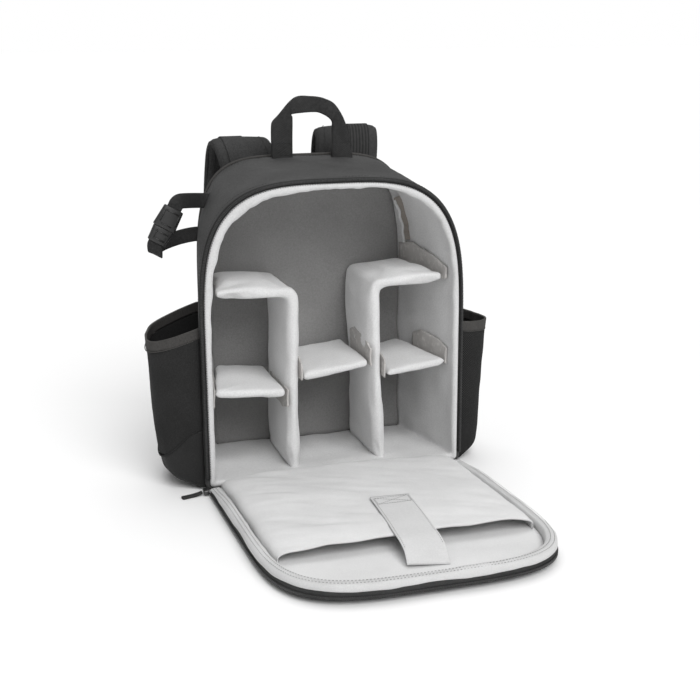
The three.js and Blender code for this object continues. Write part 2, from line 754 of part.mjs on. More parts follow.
// Everything above a line of (out from the bag's widest side, height) points.
function above(side, line) {
  const height = 2 * BACK_HEIGHT;
  const wallX = BAG_WIDTH / 2;
  const first = line[0];
  const last = line.at(-1);
  const edge = [[-BAG_WIDTH / 4, first[1]], ...line, [BAG_WIDTH / 2, last[1]]];
  const profile = [...edge, [BAG_WIDTH / 2, height], [-BAG_WIDTH / 4, height]];
  const ring = (y) => profile.map(([out, z]) => new THREE.Vector3(side * (wallX + out), y, z));
  return loft([ring(-BAG_DEPTH * 2), ring(BAG_DEPTH * 2)]);
}

function buildSidePocket({ name, side, bulge, top, drop, seam, seamDrop, finish }) {
  const body = bodyForm(-GAP);
  const shell = (outer, inner) =>
    pouchForm(side, bulge, top, outer, drop)
      .subtract(pouchForm(side, bulge, top, inner, drop * 2))
      .subtract(body);
  const topLine = (lift) => [
    [0, top + lift],
    [bulge, top - drop + lift],
  ];
  const sheet = shell(0, SIDE_POCKET_SHEET).subtract(above(side, topLine(-HEM_HEIGHT - GAP)));
  const hem = shell(-HEM_PROUD, SIDE_POCKET_SHEET + HEM_PROUD)
    .subtract(above(side, topLine(0)))
    .intersect(above(side, topLine(-HEM_HEIGHT)));
  add(`${name}_hem`, largest(hem), "webbing");
  if (seam === 0) {
    add(name, largest(sheet), finish);
    return;
  }
  const seamLine = (lift) => [
    [0, seam + lift],
    [bulge * 0.2, seam - seamDrop * 0.06 + lift],
    [bulge * 0.85, seam - seamDrop + lift],
  ];
  add(name, largest(sheet.intersect(above(side, seamLine(0)))), finish);
  add(`${name}_base`, largest(sheet.subtract(above(side, seamLine(-GAP)))), "shell");
}

// The biggest piece of a solid, in case a cut leaves slivers.
function largest(solid) {
  const pieces = solid.decompose();
  return pieces.reduce((best, piece) => (piece.volume() > best.volume() ? piece : best));
}

// Webbing and straps

// A flat band through stations. Each has a centre, a direction across, and half sizes.
function band(stations, round = 0) {
  const rings = stations.map(({ at, across, halfWidth, halfThick }, i) => {
    const before = stations[Math.max(0, i - 1)].at;
    const after = stations[Math.min(stations.length - 1, i + 1)].at;
    const along = new THREE.Vector3().subVectors(after, before).normalize();
    const sideways = across.clone().addScaledVector(along, -across.dot(along)).normalize();
    const normal = new THREE.Vector3().crossVectors(along, sideways);
    const corners = round > 0
      ? roundedBar(-halfWidth, halfWidth, -halfThick, halfThick, round)
      : [[halfWidth, halfThick], [-halfWidth, halfThick], [-halfWidth, -halfThick], [halfWidth, -halfThick]];
    return corners.map(([a, b]) => at.clone().addScaledVector(sideways, a).addScaledVector(normal, b));
  });
  return loft(rings);
}

// The strap leaves the side near the top, and its buckle hangs from it and faces forward.
// Strap routes: share of the reach out from the root, share of the depth from the buckle (0) to the root (1),
// and height above the root.
const TRIPOD_FRONT_ROUTE = [
  { out: -0.12, back: 0.6, rise: 0 },
  { out: 0.15, back: 0.55, rise: 1 },
  { out: 0.5, back: 0.3, rise: 3 },
  { out: 0.85, back: 0.06, rise: 4 },
];
const TRIPOD_REAR_ROUTE = [
  { out: 1.42, back: 0.3, rise: -52 },
  { out: 1.3, back: 0.75, rise: -47 },
  { out: 0.8, back: 1.02, rise: -42 },
  { out: 0.3, back: 1, rise: -38 },
  { out: -0.1, back: 0.9, rise: -38 },
];
const BUCKLE_DIRECTION = new THREE.Vector3(-0.5, 0.02, -0.86).normalize();
const TRIPOD_BUCKLE_Y = -2;

function buildTripodStrap() {
  const rootY = TUBE_REAR_Y - SIDE_POCKET_REAR / 2;
  const rootX = halfWidthAt(shapeAt(rootY), TRIPOD_STRAP_Z, 0);
  const point = ({ out, back, rise }) =>
    new THREE.Vector3(
      -(rootX + TRIPOD_LOOP_REACH * out),
      lerp(TRIPOD_BUCKLE_Y, rootY, back),
      TRIPOD_STRAP_Z + rise,
    );
  const up = new THREE.Vector3(0, 0, 1);
  const size = { halfWidth: TRIPOD_STRAP_WIDTH / 2, halfThick: WEBBING / 2 };
  // Turned the same way as up, so that the strap twists by the smaller angle into the buckle.
  const buckleSide = new THREE.Vector3(0, 1, 0).cross(BUCKLE_DIRECTION).normalize();
  const frontEnd = point(TRIPOD_FRONT_ROUTE.at(-1));
  const turnLength = TRIPOD_STRAP_WIDTH / 2;
  const buckleTop = frontEnd.clone().addScaledVector(BUCKLE_DIRECTION, turnLength + GAP);
  const buckleEnd = buckleTop.clone().addScaledVector(BUCKLE_DIRECTION, BUCKLE_LENGTH);
  const body = bodyForm(-GAP);

  const front = TRIPOD_FRONT_ROUTE.map((step, i) => ({
    at: point(step),
    across: up.clone().lerp(buckleSide, i === TRIPOD_FRONT_ROUTE.length - 1 ? 0.7 : 0),
    ...size,
  }));
  for (const share of [0.7, 1]) {
    front.push({
      at: frontEnd.clone().addScaledVector(BUCKLE_DIRECTION, turnLength * share),
      across: buckleSide,
      ...size,
    });
  }
  add("tripod_strap_front", largest(band(front).subtract(body)), "webbing");

  const part = (from, to, widthFrom, widthTo) =>
    band(
      [[from, widthFrom], [to, widthTo]].map(([distance, width]) => ({
        at: buckleTop.clone().addScaledVector(BUCKLE_DIRECTION, distance),
        across: buckleSide,
        halfWidth: width / 2,
        halfThick: BUCKLE_THICKNESS / 2,
      })),
      BUCKLE_THICKNESS / 3,
    );
  const split = BUCKLE_LENGTH * 0.58;
  add("buckle_socket", part(0, split, BUCKLE_WIDTH * 0.86, BUCKLE_WIDTH), "plastic");
  add("buckle_plug", part(split + GAP, BUCKLE_LENGTH, BUCKLE_WIDTH * 0.9, BUCKLE_WIDTH * 0.8), "plastic");

  const rear = [WEBBING, WEBBING * 3].map((distance) => ({
    at: buckleEnd.clone().addScaledVector(BUCKLE_DIRECTION, distance),
    across: buckleSide,
    ...size,
  }));
  rear.push(...TRIPOD_REAR_ROUTE.map((step) => ({ at: point(step), across: up, ...size })));
  add("tripod_strap_rear", largest(band(rear).subtract(body)), "webbing");
}

// Handle edges: x as a share of the half span and z as a share of the rise, for the outer and inner edge.
const HANDLE_INNER = 1 - 2 * (HANDLE_LEG / HANDLE_SPAN);
const HANDLE_GRIP_SHARE = HANDLE_GRIP / HANDLE_RISE;
const HANDLE_EDGES = [
  { outer: [-1, -0.3], inner: [-HANDLE_INNER, -0.3] },
  { outer: [-1, 0.56], inner: [-HANDLE_INNER, 0.55] },
  { outer: [-0.84, 0.7], inner: [-HANDLE_INNER, 0.66] },
  { outer: [-0.42, 0.99], inner: [-HANDLE_INNER * 0.96, 0.99 - HANDLE_GRIP_SHARE] },
  { outer: [0, 1.01], inner: [0.04, 1.01 - HANDLE_GRIP_SHARE] },
  { outer: [0.32, 0.97], inner: [0.3, 0.96 - HANDLE_GRIP_SHARE] },
  { outer: [0.6, 0.85], inner: [HANDLE_INNER, 0.85 - HANDLE_GRIP_SHARE] },
  { outer: [0.87, 0.47], inner: [HANDLE_INNER, 0.42] },
  { outer: [1, 0], inner: [HANDLE_INNER, 0] },
  { outer: [1, -0.3], inner: [HANDLE_INNER, -0.3] },
];

function buildHandle() {
  const y = TUBE_REAR_Y - HANDLE_FROM_REAR;
  const base = shapeAt(y).height;
  const spot = ([x, z], offset) =>
    new THREE.Vector3(HANDLE_X + (x * HANDLE_SPAN) / 2, y + offset, base + z * HANDLE_RISE);
  const thick = HANDLE_THICKNESS / 2;
  const rings = HANDLE_EDGES.map(({ outer, inner }) => [
    spot(outer, -thick),
    spot(inner, -thick),
    spot(inner, thick),
    spot(outer, thick),
  ]);
  add("grab_handle", largest(loft(rings).subtract(bodyForm(-GAP))), "webbing");
}

// Shoulder strap line: reach behind the back panel, height, toe-out and width, as shares of the named sizes.
// Height counts up from the strap's root by its lift, or down from the root by its fall.
const STRAP_LINE = [
  { reach: 0, lift: -0.25, toe: -0.4, width: 0.94, thick: 0.6 },
  { reach: 0.04, lift: 0.3, toe: -0.3, width: 0.97, thick: 0.9 },
  { reach: 0.2, lift: 0.76, toe: -0.15, width: 1, thick: 1 },
  { reach: 0.5, lift: 1, toe: 0, width: 1, thick: 1 },
  { reach: 0.82, lift: 0.86, toe: 0.05, width: 1, thick: 1 },
  { reach: 1, lift: 0.42, toe: 0.1, width: 1, thick: 1 },
  { reach: 0.96, fall: 0.12, toe: 0.25, width: 1, thick: 1 },
  { reach: 0.8, fall: 0.45, toe: 0.6, width: 0.96, thick: 1 },
  { reach: 0.6, fall: 0.8, toe: 0.9, width: 0.84, thick: 0.95 },
  { reach: 0.5, fall: 1, toe: 1, width: 0.62, thick: 0.7 },
];

function buildShoulderStrap({ name, side, x, rise, width: fullWidth }) {
  const across = new THREE.Vector3(1, 0, 0);
  const place = ({ reach, lift, fall, toe, thick }) =>
    new THREE.Vector3(
      side * (x + STRAP_TOE_OUT * toe),
      REAR_Y + GAP + (STRAP_THICKNESS / 2) * thick + STRAP_REACH * reach,
      fall === undefined ? STRAP_TOP + rise * lift : STRAP_TOP - STRAP_FALL * fall,
    );
  const stations = STRAP_LINE.map((step) => ({
    at: place(step),
    across,
    halfWidth: (fullWidth / 2) * step.width,
    halfThick: (STRAP_THICKNESS / 2) * step.thick,
  }));
  add(`shoulder_strap_${name}`, band(stations, PAD_ROUND), "shell");

  // The ladder lock hangs at the strap's end, and the webbing runs from it to the bag's foot.
  const end = stations.at(-1).at;
  const before = stations.at(-2).at;
  const down = new THREE.Vector3().subVectors(end, before).normalize();
  const footX = REAR_SHAPE.width / 2 - BACK_FACE_ROUND - LOWER_WEBBING_INSET - LOWER_WEBBING_WIDTH / 2;
  const foot = new THREE.Vector3(side * footX, REAR_Y + GAP + WEBBING, LOWER_WEBBING_FOOT);
  const lockTop = end.clone().addScaledVector(down, GAP);
  const lockEnd = lockTop.clone().addScaledVector(down, LADDER_HEIGHT);
  const lock = band([
    { at: lockTop, across, halfWidth: LADDER_WIDTH / 2, halfThick: LADDER_THICKNESS / 2 },
    { at: lockEnd, across, halfWidth: LADDER_WIDTH / 2, halfThick: LADDER_THICKNESS / 2 },
  ], LADDER_THICKNESS / 3);
  const slotLength = (LADDER_HEIGHT - 3 * LADDER_BAR) / 2;
  const slotSize = { across, halfWidth: LADDER_WIDTH / 2 - LADDER_BAR, halfThick: LADDER_THICKNESS };
  const slot = (from) => {
    const at = (t) => lockTop.clone().addScaledVector(down, t);
    return band([
      { at: at(from), ...slotSize },
      { at: at(from + slotLength), ...slotSize },
    ]);
  };
  const open = lock.subtract(slot(LADDER_BAR)).subtract(slot(2 * LADDER_BAR + slotLength));
  add(`ladder_lock_${name}`, open, "plastic");

  const webbingTop = lockEnd.clone().addScaledVector(down, GAP);
  const webbingTurn = lockEnd.clone().addScaledVector(down, GAP + WEBBING * 2);
  const sag = new THREE.Vector3().lerpVectors(webbingTop, foot, 0.5);
  sag.y += WEBBING * 2;
  const size = { across, halfWidth: LOWER_WEBBING_WIDTH / 2, halfThick: WEBBING / 2 };
  const flat = foot.clone().add(new THREE.Vector3(0, -WEBBING / 2, -LOWER_WEBBING_WIDTH / 2));
  const webbing = band([
    { at: webbingTop, ...size },
    { at: webbingTurn, ...size },
    { at: sag, ...size },
    { at: foot, ...size },
    { at: flat, ...size },
  ]);
  add(`lower_webbing_${name}`, webbing, "webbing");
}

// Zip slider at the hinge's left end, with its woven pull lying on the floor

// Pull line: share of the pull's length, share of the way down from the slider to the floor, place along Y.
const PULL_LINE = [
  { out: 0, down: 0, back: 0, width: 0.6 },
  { out: 0.2, down: 0.6, back: 0, width: 0.9 },
  { out: 0.42, down: 1, back: -0.5, width: 1 },
  { out: 1, down: 1, back: -4, width: 1 },
];

function buildSlider() {
  const corner = flapPoint(-FLAP_WIDTH / 2, 0, 0);
  const highX = corner.x - GAP;
  const rearY = FLAP_HINGE_Y - GAP;
  const base = FLAP_EDGE_LOW;
  const low = new THREE.Vector3(highX - SLIDER_WIDTH, rearY - SLIDER_LENGTH, base);
  add("zip_slider", box(low, new THREE.Vector3(highX, rearY, base + SLIDER_HEIGHT)), "metal");
  const start = new THREE.Vector3(
    low.x - PULL_THICKNESS / 2,
    rearY - SLIDER_LENGTH * 0.6,
    base + SLIDER_HEIGHT / 2,
  );
  const rest = PULL_THICKNESS / 2 + GAP;
  const stations = PULL_LINE.map(({ out, down, back, width }) => ({
    at: new THREE.Vector3(start.x - PULL_LENGTH * out, start.y + back, lerp(start.z, rest, down)),
    across: new THREE.Vector3(0, 1, 0),
    halfWidth: (PULL_WIDTH / 2) * width,
    halfThick: PULL_THICKNESS / 2,
  }));
  add("zip_pull", band(stations), "webbing");
}

buildBody();
buildBodyZip();
buildInterior();
buildFlap();
buildPocket();
buildSidePocket({
  name: "pocket_left",
  side: -1,
  bulge: LEFT_POCKET_BULGE,
  top: LEFT_POCKET_TOP,
  drop: LEFT_POCKET_DROP,
  seam: LEFT_POCKET_SEAM,
  seamDrop: LEFT_POCKET_SEAM_DROP,
  finish: "shell",
});
buildSidePocket({
  name: "pocket_right",
  side: 1,
  bulge: RIGHT_POCKET_BULGE,
  top: RIGHT_POCKET_TOP,
  drop: RIGHT_POCKET_DROP,
  seam: 0,
  seamDrop: 0,
  finish: "mesh",
});
buildTripodStrap();
buildHandle();
buildShoulderStrap({
  name: "left",
  side: -1,
  x: LEFT_STRAP_X,
  rise: LEFT_STRAP_LIFT,
  width: LEFT_STRAP_WIDTH,
});
buildShoulderStrap({
  name: "right",
  side: 1,
  x: RIGHT_STRAP_X,
  rise: RIGHT_STRAP_LIFT,
  width: RIGHT_STRAP_WIDTH,
});
buildSlider();

export default bag;
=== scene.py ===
"""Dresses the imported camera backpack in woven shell, brushed lining, padding, zips and webbing."""

from __future__ import annotations

import json
import logging
import math
from dataclasses import dataclass, field
from enum import Enum
from typing import Callable, Sequence

import bmesh
import bpy
from mathutils import Matrix, Vector, noise

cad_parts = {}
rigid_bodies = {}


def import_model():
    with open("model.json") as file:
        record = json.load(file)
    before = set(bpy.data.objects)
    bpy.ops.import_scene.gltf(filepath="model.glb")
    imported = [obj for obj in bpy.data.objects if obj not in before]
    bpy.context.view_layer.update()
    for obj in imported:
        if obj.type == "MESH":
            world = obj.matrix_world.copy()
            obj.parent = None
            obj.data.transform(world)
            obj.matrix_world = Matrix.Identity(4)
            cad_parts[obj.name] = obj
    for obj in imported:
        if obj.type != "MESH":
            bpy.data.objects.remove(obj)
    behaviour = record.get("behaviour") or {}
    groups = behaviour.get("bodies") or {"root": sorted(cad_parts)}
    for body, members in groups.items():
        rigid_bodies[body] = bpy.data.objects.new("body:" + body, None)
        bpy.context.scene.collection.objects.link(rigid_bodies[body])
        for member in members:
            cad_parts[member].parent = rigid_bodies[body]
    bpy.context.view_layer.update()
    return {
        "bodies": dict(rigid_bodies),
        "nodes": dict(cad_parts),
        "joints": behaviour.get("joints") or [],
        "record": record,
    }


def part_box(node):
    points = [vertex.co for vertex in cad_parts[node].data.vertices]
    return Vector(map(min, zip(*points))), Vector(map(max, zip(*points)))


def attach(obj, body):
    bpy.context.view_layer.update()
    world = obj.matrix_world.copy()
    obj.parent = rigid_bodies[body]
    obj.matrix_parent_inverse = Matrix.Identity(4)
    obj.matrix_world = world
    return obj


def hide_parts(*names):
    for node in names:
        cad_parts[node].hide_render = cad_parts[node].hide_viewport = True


LOG = logging.getLogger("camera_backpack")
MM = 0.001
CLOTH_MAP = "cloth"
UP = Vector((0.0, 0.0, 1.0))
AHEAD = Vector((0.0, -1.0, 0.0))
BEHIND = Vector((0.0, 1.0, 0.0))
ACROSS = Vector((1.0, 0.0, 0.0))
Point = tuple[float, float]
Ring = list[Vector]
Spot = tuple[Vector, Vector, Vector]
Station = tuple[Vector, float, float]


def mix(a: float, b: float, share: float) -> float:
    """The value between two numbers."""
    return a + (b - a) * share


def clamp(value: float, low: float = 0.0, high: float = 1.0) -> float:
    """A number kept between two limits."""
    return max(low, min(high, value))


def ease(value: float) -> float:
    """A smooth step from 0 to 1."""
    value = clamp(value)
    return value * value * (3 - 2 * value)


def bell(distance: float, width: float) -> float:
    """A soft hump that is 1 at distance 0."""
    return math.exp(-((distance / width) ** 2))


def along_table(table: Sequence[Sequence[float]], place: float) -> list[float]:
    """Reads a table of rows that start with a place, on a smooth curve.

    Args:
        table: rows of a place and one or more values, in rising order of place.
        place: where to read.

    Returns:
        The values there.
    """
    place = clamp(place, table[0][0], table[-1][0])
    i = 1
    while i < len(table) - 1 and table[i][0] < place:
        i += 1
    a, b = table[i - 1], table[i]
    before, after = table[max(0, i - 2)], table[min(len(table) - 1, i + 1)]
    span = b[0] - a[0]
    t = (place - a[0]) / span
    values = []
    for k in range(1, len(a)):
        low = (b[k] - before[k]) / max(b[0] - before[0], 1e-9) * span
        high = (after[k] - a[k]) / max(after[0] - a[0], 1e-9) * span
        values.append(
            (2 * t**3 - 3 * t**2 + 1) * a[k]
            + (t**3 - 2 * t**2 + t) * low
            + (3 * t**2 - 2 * t**3) * b[k]
            + (t**3 - t**2) * high
        )
    return values


def sampled(table: Sequence[Sequence[float]], steps: int) -> list[list[float]]:
    """Reads a table at even steps from its first row, whose place is 0, to its last."""
    return [along_table(table, table[-1][0] * k / steps) for k in range(steps + 1)]


def evenly(points: Sequence[Vector], count: int) -> Ring:
    """Puts points at even steps along a line of points.

    Args:
        points: the line.
        count: how many points to return.

    Returns:
        The new points, with the same two ends.
    """
    reach = [0.0]
    for a, b in zip(points, points[1:]):
        reach.append(reach[-1] + (b - a).length)
    result: Ring = []
    i = 0
    for k in range(count):
        goal = reach[-1] * k / (count - 1)
        while i < len(reach) - 2 and reach[i + 1] < goal:
            i += 1
        span = max(reach[i + 1] - reach[i], 1e-12)
        result.append(points[i].lerp(points[i + 1], (goal - reach[i]) / span))
    return result


@dataclass(frozen=True)
class Folds:
    """Soft folds in cloth, read from smooth noise.

    Args:
        height: how far the cloth moves, in metres.
        spread: the size of a fold along X, Y and Z, in metres.
        seed: picks another part of the noise.
        sharp: 0 gives swells, 1 gives creases with narrow ridges.
    """

    height: float
    spread: tuple[float, float, float]
    seed: float = 0.0
    sharp: float = 0.0

    def at(self, p: Vector) -> float:
        """The height of the folds at a point."""
        spot = Vector((p[0] / self.spread[0], p[1] / self.spread[1], p[2] / self.spread[2] + self.seed))
        value = noise.noise(spot)
        ridge = 1 - 3 * abs(value)
        return self.height * mix(value * 1.6, ridge * 0.6, self.sharp)


class Value:
    """A shader socket that takes part in sums, as numbers do."""

    def __init__(self, shader: "Shader", socket: bpy.types.NodeSocket) -> None:
        """Keeps the shader and the socket."""
        self.shader = shader
        self.socket = socket

    def _math(self, operation: str, *terms: object) -> "Value":
        """Adds one Math node on the given terms."""
        inputs = dict(enumerate(terms))
        return Value(self.shader, self.shader.node("Math", {"operation": operation}, inputs).outputs[0])

    def __add__(self, other: object) -> "Value":
        """The sum."""
        return self._math("ADD", self, other)

    __radd__ = __add__

    def __sub__(self, other: object) -> "Value":
        """The difference."""
        return self._math("SUBTRACT", self, other)

    def __rsub__(self, other: object) -> "Value":
        """The difference, the other way round."""
        return self._math("SUBTRACT", other, self)

    def __mul__(self, other: object) -> "Value":
        """The product."""
        return self._math("MULTIPLY", self, other)

    __rmul__ = __mul__

    def wave(self, pitch: float) -> "Value":
        """A sine wave from 0 to 1 that repeats after pitch."""
        turned = self._math("MULTIPLY", self, 2 * math.pi / pitch)
        return self._math("SINE", turned) * 0.5 + 0.5

    def band(self, low: float, high: float) -> "Value":
        """A smooth step from 0 at low to 1 at high."""
        settings = {"interpolation_type": "SMOOTHSTEP"}
        ends = {"Value": self, "From Min": low, "From Max": high}
        return Value(self.shader, self.shader.node("MapRange", settings, ends).outputs[0])


class Shader:
    """Builds one material's nodes."""

    def __init__(self, name: str) -> None:
        """Makes an empty node material."""
        self.material = bpy.data.materials.new(name)
        self.material.use_nodes = True
        self.tree = self.material.node_tree
        self.tree.nodes.clear()

    def node(self, kind: str, settings: dict | None = None, inputs: dict | None = None) -> bpy.types.Node:
        """Adds a node.

        Args:
            kind: the node's type, without its ShaderNode prefix.
            settings: the node's own settings, which are set first.
            inputs: values or links of its sockets, by name or number.

        Returns:
            The node.
        """
        made = self.tree.nodes.new("ShaderNode" + kind)
        for key, value in (settings or {}).items():
            setattr(made, key, value)
        for key, value in (inputs or {}).items():
            self.feed(made.inputs[key], value)
        return made

    def feed(self, socket: bpy.types.NodeSocket, value: object) -> None:
        """Links or sets one socket."""
        if isinstance(value, Value):
            value = value.socket
        if isinstance(value, bpy.types.NodeSocket):
            self.tree.links.new(value, socket)
        else:
            socket.default_value = value

    def noise(self, place: object, size: float, detail: float = 2.0) -> Value:
        """Smooth noise from 0 to 1 with blobs of a size in metres."""
        made = self.node("TexNoise", {}, {"Vector": place, "Scale": 1 / size, "Detail": detail})
        return Value(self, made.outputs[0])

    def tint(self, factor: object, low: Sequence[float], high: Sequence[float]) -> bpy.types.NodeSocket:
        """A colour between two, by a factor."""
        made = self.node("Mix", {"data_type": "RGBA"}, {0: factor, 6: (*low, 1.0), 7: (*high, 1.0)})
        return made.outputs[2]

    def finish(self, colour: object, relief: Value, depth: float, inputs: dict) -> bpy.types.Material:
        """Adds the surface and its bump.

        Args:
            colour: the base colour.
            relief: the height of the bump, from 0 to 1.
            depth: how deep the bump is, in metres.
            inputs: the other sockets of the surface.

        Returns:
            The material.
        """
        bump = self.node("Bump", {}, {"Height": relief, "Distance": depth, "Strength": 1.0})
        surface = self.node("BsdfPrincipled", {}, {"Base Color": colour, "Normal": bump.outputs[0], **inputs})
        self.node("OutputMaterial", {}, {"Surface": surface.outputs[0]})
        return self.material


class Weave(Enum):
    """The ways the cloths are made."""

    CANVAS = "canvas"
    RIBBED = "ribbed"
    BRUSHED = "brushed"
    NET = "net"
    MOULDED = "moulded"
    LOOPED = "looped"
    TWILL = "twill"


@dataclass(frozen=True)
class Finish:
    """One finish of the bag.

    Args:
        name: the material's name.
        slot: the record's material slot; not used.
        dark: the colour in the hollows of the weave.
        light: the colour on its threads.
        weave: how it is made.
        pitch: the distance between threads, in metres.
        relief: the depth of the weave, in metres.
        roughness: the surface's roughness.
        sheen: how much fuzz catches light at the edges.
        metal: the share of bare metal.
        gloss: how strongly it mirrors light.
    """

    name: str
    slot: str
    dark: tuple[float, float, float]
    light: tuple[float, float, float]
    weave: Weave
    pitch: float = 1.1 * MM
    relief: float = 0.25 * MM
    roughness: float = 0.85
    sheen: float = 0.0
    metal: float = 0.0
    gloss: float = 0.18

    def pattern(self, shader: Shader, across: Value, along: Value, place: object) -> tuple[Value, Value]:
        """The weave's height and how light its threads are, both from 0 to 1."""
        speck = shader.noise(place, self.pitch * 1.4, 3.0)
        if self.weave is Weave.CANVAS:
            threads = across.wave(self.pitch) * along.wave(self.pitch)
            return threads * 0.7 + speck * 0.3, threads * 0.35 + speck * 0.65
        if self.weave is Weave.RIBBED:
            ribs = along.wave(self.pitch)
            strands = (across + along * 0.5).wave(self.pitch * 0.7)
            return ribs * 0.8 + strands * 0.2, ribs * 0.5 + speck * 0.5
        if self.weave is Weave.TWILL:
            ribs = (along + across * 0.7).wave(self.pitch)
            return ribs * 0.7 + speck * 0.3, ribs * 0.3 + speck * 0.7
        if self.weave is Weave.NET:
            holes = (across + along * 0.577).wave(self.pitch) * (across - along * 0.577).wave(self.pitch)
            open_net = holes.band(0.12, 0.45)
            return open_net, open_net * 0.7 + speck * 0.3
        if self.weave is Weave.LOOPED:
            loops = shader.noise(place, self.pitch, 4.0)
            patch = shader.noise(place, self.pitch * 7, 2.0).band(0.5, 0.7)
            return loops, patch * 0.4 + loops * 0.4 + 0.15
        if self.weave is Weave.MOULDED:
            return speck, speck
        nap = shader.noise(place, self.pitch * 2.4, 4.0)
        return nap * 0.6 + speck * 0.4, nap * 0.6 + speck * 0.4

    def material(self) -> bpy.types.Material:
        """The finish as a material, made once."""
        kept = bpy.data.materials.get(self.name)
        if kept is not None:
            return kept
        shader = Shader(self.name)
        place = shader.node("TexCoord").outputs["Object"]
        mapped = shader.node("UVMap", {"uv_map": CLOTH_MAP}).outputs[0]
        split = shader.node("SeparateXYZ", {}, {0: mapped})
        across, along = (Value(shader, split.outputs[i]) for i in range(2))
        height, threads = self.pattern(shader, across, along, place)
        wear = shader.noise(place, 45 * MM, 3.0)
        shade = threads * 0.7 + wear * 0.3
        colour = shader.tint(shade.band(0.15, 0.85), self.dark, self.light)
        rough = wear * 0.1 + (self.roughness - 0.05)
        sockets = {
            "Roughness": rough,
            "Metallic": self.metal,
            "Sheen Weight": self.sheen,
            "Specular IOR Level": self.gloss,
        }
        return shader.finish(colour, height, self.relief, sockets)


def grey(value: float, warmth: float = 0.0) -> tuple[float, float, float]:
    """A grey, a little brown where warmth is above 0."""
    return (value * (1 + warmth), value, value * (1 - warmth))


FINE = 0.5 * MM
SHELL = Finish("shell_canvas", "shell", grey(0.037), grey(0.116), Weave.CANVAS, 0.9 * MM, 0.2 * MM)
# Painted shade: the left pouch and its base panel are darker copies of the shell canvas, standing for the
# shade on the side turned away from the light.
POUCH_PAINTED_SHADE = Finish("pouch_canvas_painted_shade", "shell", grey(0.011), grey(0.039), Weave.CANVAS, 0.9 * MM, 0.2 * MM)
SHELL_BASE_PAINTED_SHADE = Finish("shell_base", "shell", grey(0.012), grey(0.036), Weave.CANVAS, 0.7 * MM, 0.1 * MM, 0.65)
HEM = Finish("hem_tape", "webbing", grey(0.028, 0.03), grey(0.085, 0.04), Weave.RIBBED, 1.2 * MM, 0.2 * MM)
WEBBING = Finish("webbing_twill", "webbing", grey(0.014), grey(0.05), Weave.TWILL, 1.7 * MM, 0.22 * MM, 0.75)
STRAP = Finish("strap_canvas", "shell", grey(0.021), grey(0.08), Weave.CANVAS, 1.0 * MM, 0.25 * MM)
RIB_TAPE = Finish("strap_tape", "webbing", grey(0.011), grey(0.042), Weave.RIBBED, 3.0 * MM, 0.4 * MM, 0.75)
BACKING = Finish("air_mesh", "shell", grey(0.010), grey(0.045), Weave.NET, 3.2 * MM, 0.6 * MM)
NET = Finish("pocket_net", "mesh", grey(0.008), grey(0.046), Weave.NET, 1.7 * MM, 0.5 * MM)
TAPE = Finish("zip_tape", "zip", grey(0.010), grey(0.034), Weave.RIBBED, 0.9 * MM, 0.12 * MM, 0.6)
RIM_TAPE = Finish("rim_tape", "zip", grey(0.022), grey(0.07), Weave.CANVAS, 0.8 * MM, 0.15 * MM, 0.7)
# Painted highlight: the teeth are a lighter grey than the tape, so that they show as fine light ticks along
# the zip.
TEETH_PAINTED_HIGHLIGHT = Finish("zip_teeth_painted_highlight", "zip", grey(0.03), grey(0.08), Weave.MOULDED, 0.8 * MM, 0.03 * MM, 0.4)
PLASTIC = Finish(
    "buckle_plastic", "plastic", grey(0.013), grey(0.032), Weave.MOULDED, FINE, 0.04 * MM, 0.42, gloss=0.5
)
METAL = Finish(
    "slider_metal",
    "metal",
    grey(0.05),
    grey(0.16),
    Weave.MOULDED,
    0.6 * MM,
    0.02 * MM,
    0.38,
    metal=0.8,
    gloss=0.5,
)
THREAD = Finish("dark_thread", "webbing", grey(0.014), grey(0.06), Weave.MOULDED, FINE, 0.05 * MM, 0.8)
LINING = Finish(
    "brushed_lining", "lining", grey(0.50), grey(0.74), Weave.BRUSHED, 0.7 * MM, 0.35 * MM, 0.92, 0.25
)
# Painted shade: the back lining is a much darker grey than the walls, standing for the shade deep inside the
# bag.
BACK_LINING_PAINTED_SHADE = Finish(
    "back_lining_painted_shade", "lining", grey(0.20, 0.01), grey(0.32, 0.01), Weave.BRUSHED, 0.7 * MM, 0.3 * MM, 0.92, 0.15
)
PAD = Finish("pad_lining", "lining", grey(0.58), grey(0.80), Weave.BRUSHED, 0.7 * MM, 0.35 * MM, 0.92, 0.3)
POCKET = Finish(
    "pocket_lining", "lining", grey(0.60), grey(0.83), Weave.CANVAS, 0.6 * MM, 0.12 * MM, 0.85, 0.1
)
CLOSURE = Finish("closure_webbing", "lining", grey(0.52), grey(0.72), Weave.RIBBED, 1.1 * MM, 0.15 * MM, 0.8)
BINDING = Finish(
    "light_binding", "lining", grey(0.53), grey(0.76), Weave.RIBBED, 0.9 * MM, 0.2 * MM, 0.85, 0.1
)
SEAM_TAPE = Finish(
    "seam_tape", "lining", grey(0.20, 0.10), grey(0.34, 0.10), Weave.RIBBED, 0.9 * MM, 0.2 * MM, 0.9
)
TAB = Finish("tab_loop", "lining", grey(0.42, 0.03), grey(0.60, 0.03), Weave.LOOPED, 0.8 * MM, 0.3 * MM, 0.9)
LIGHT_THREAD = Finish("light_thread", "lining", grey(0.17), grey(0.32), Weave.MOULDED, FINE, 0.05 * MM, 0.8)


def merged(mesh: bpy.types.Mesh) -> bmesh.types.BMesh:
    """Copies a CAD node's mesh and joins its loose triangles.

    Args:
        mesh: the node's mesh.

    Returns:
        The copy.
    """
    bm = bmesh.new()
    bm.from_mesh(mesh)
    bmesh.ops.remove_doubles(bm, verts=bm.verts, dist=1e-5)
    return bm


def circle(radius: float, count: int) -> list[Point]:
    """A round outline with a number of points."""
    turns = (math.pi * k / (count / 2) for k in range(count))
    return [(radius * math.cos(t), radius * math.sin(t)) for t in turns]


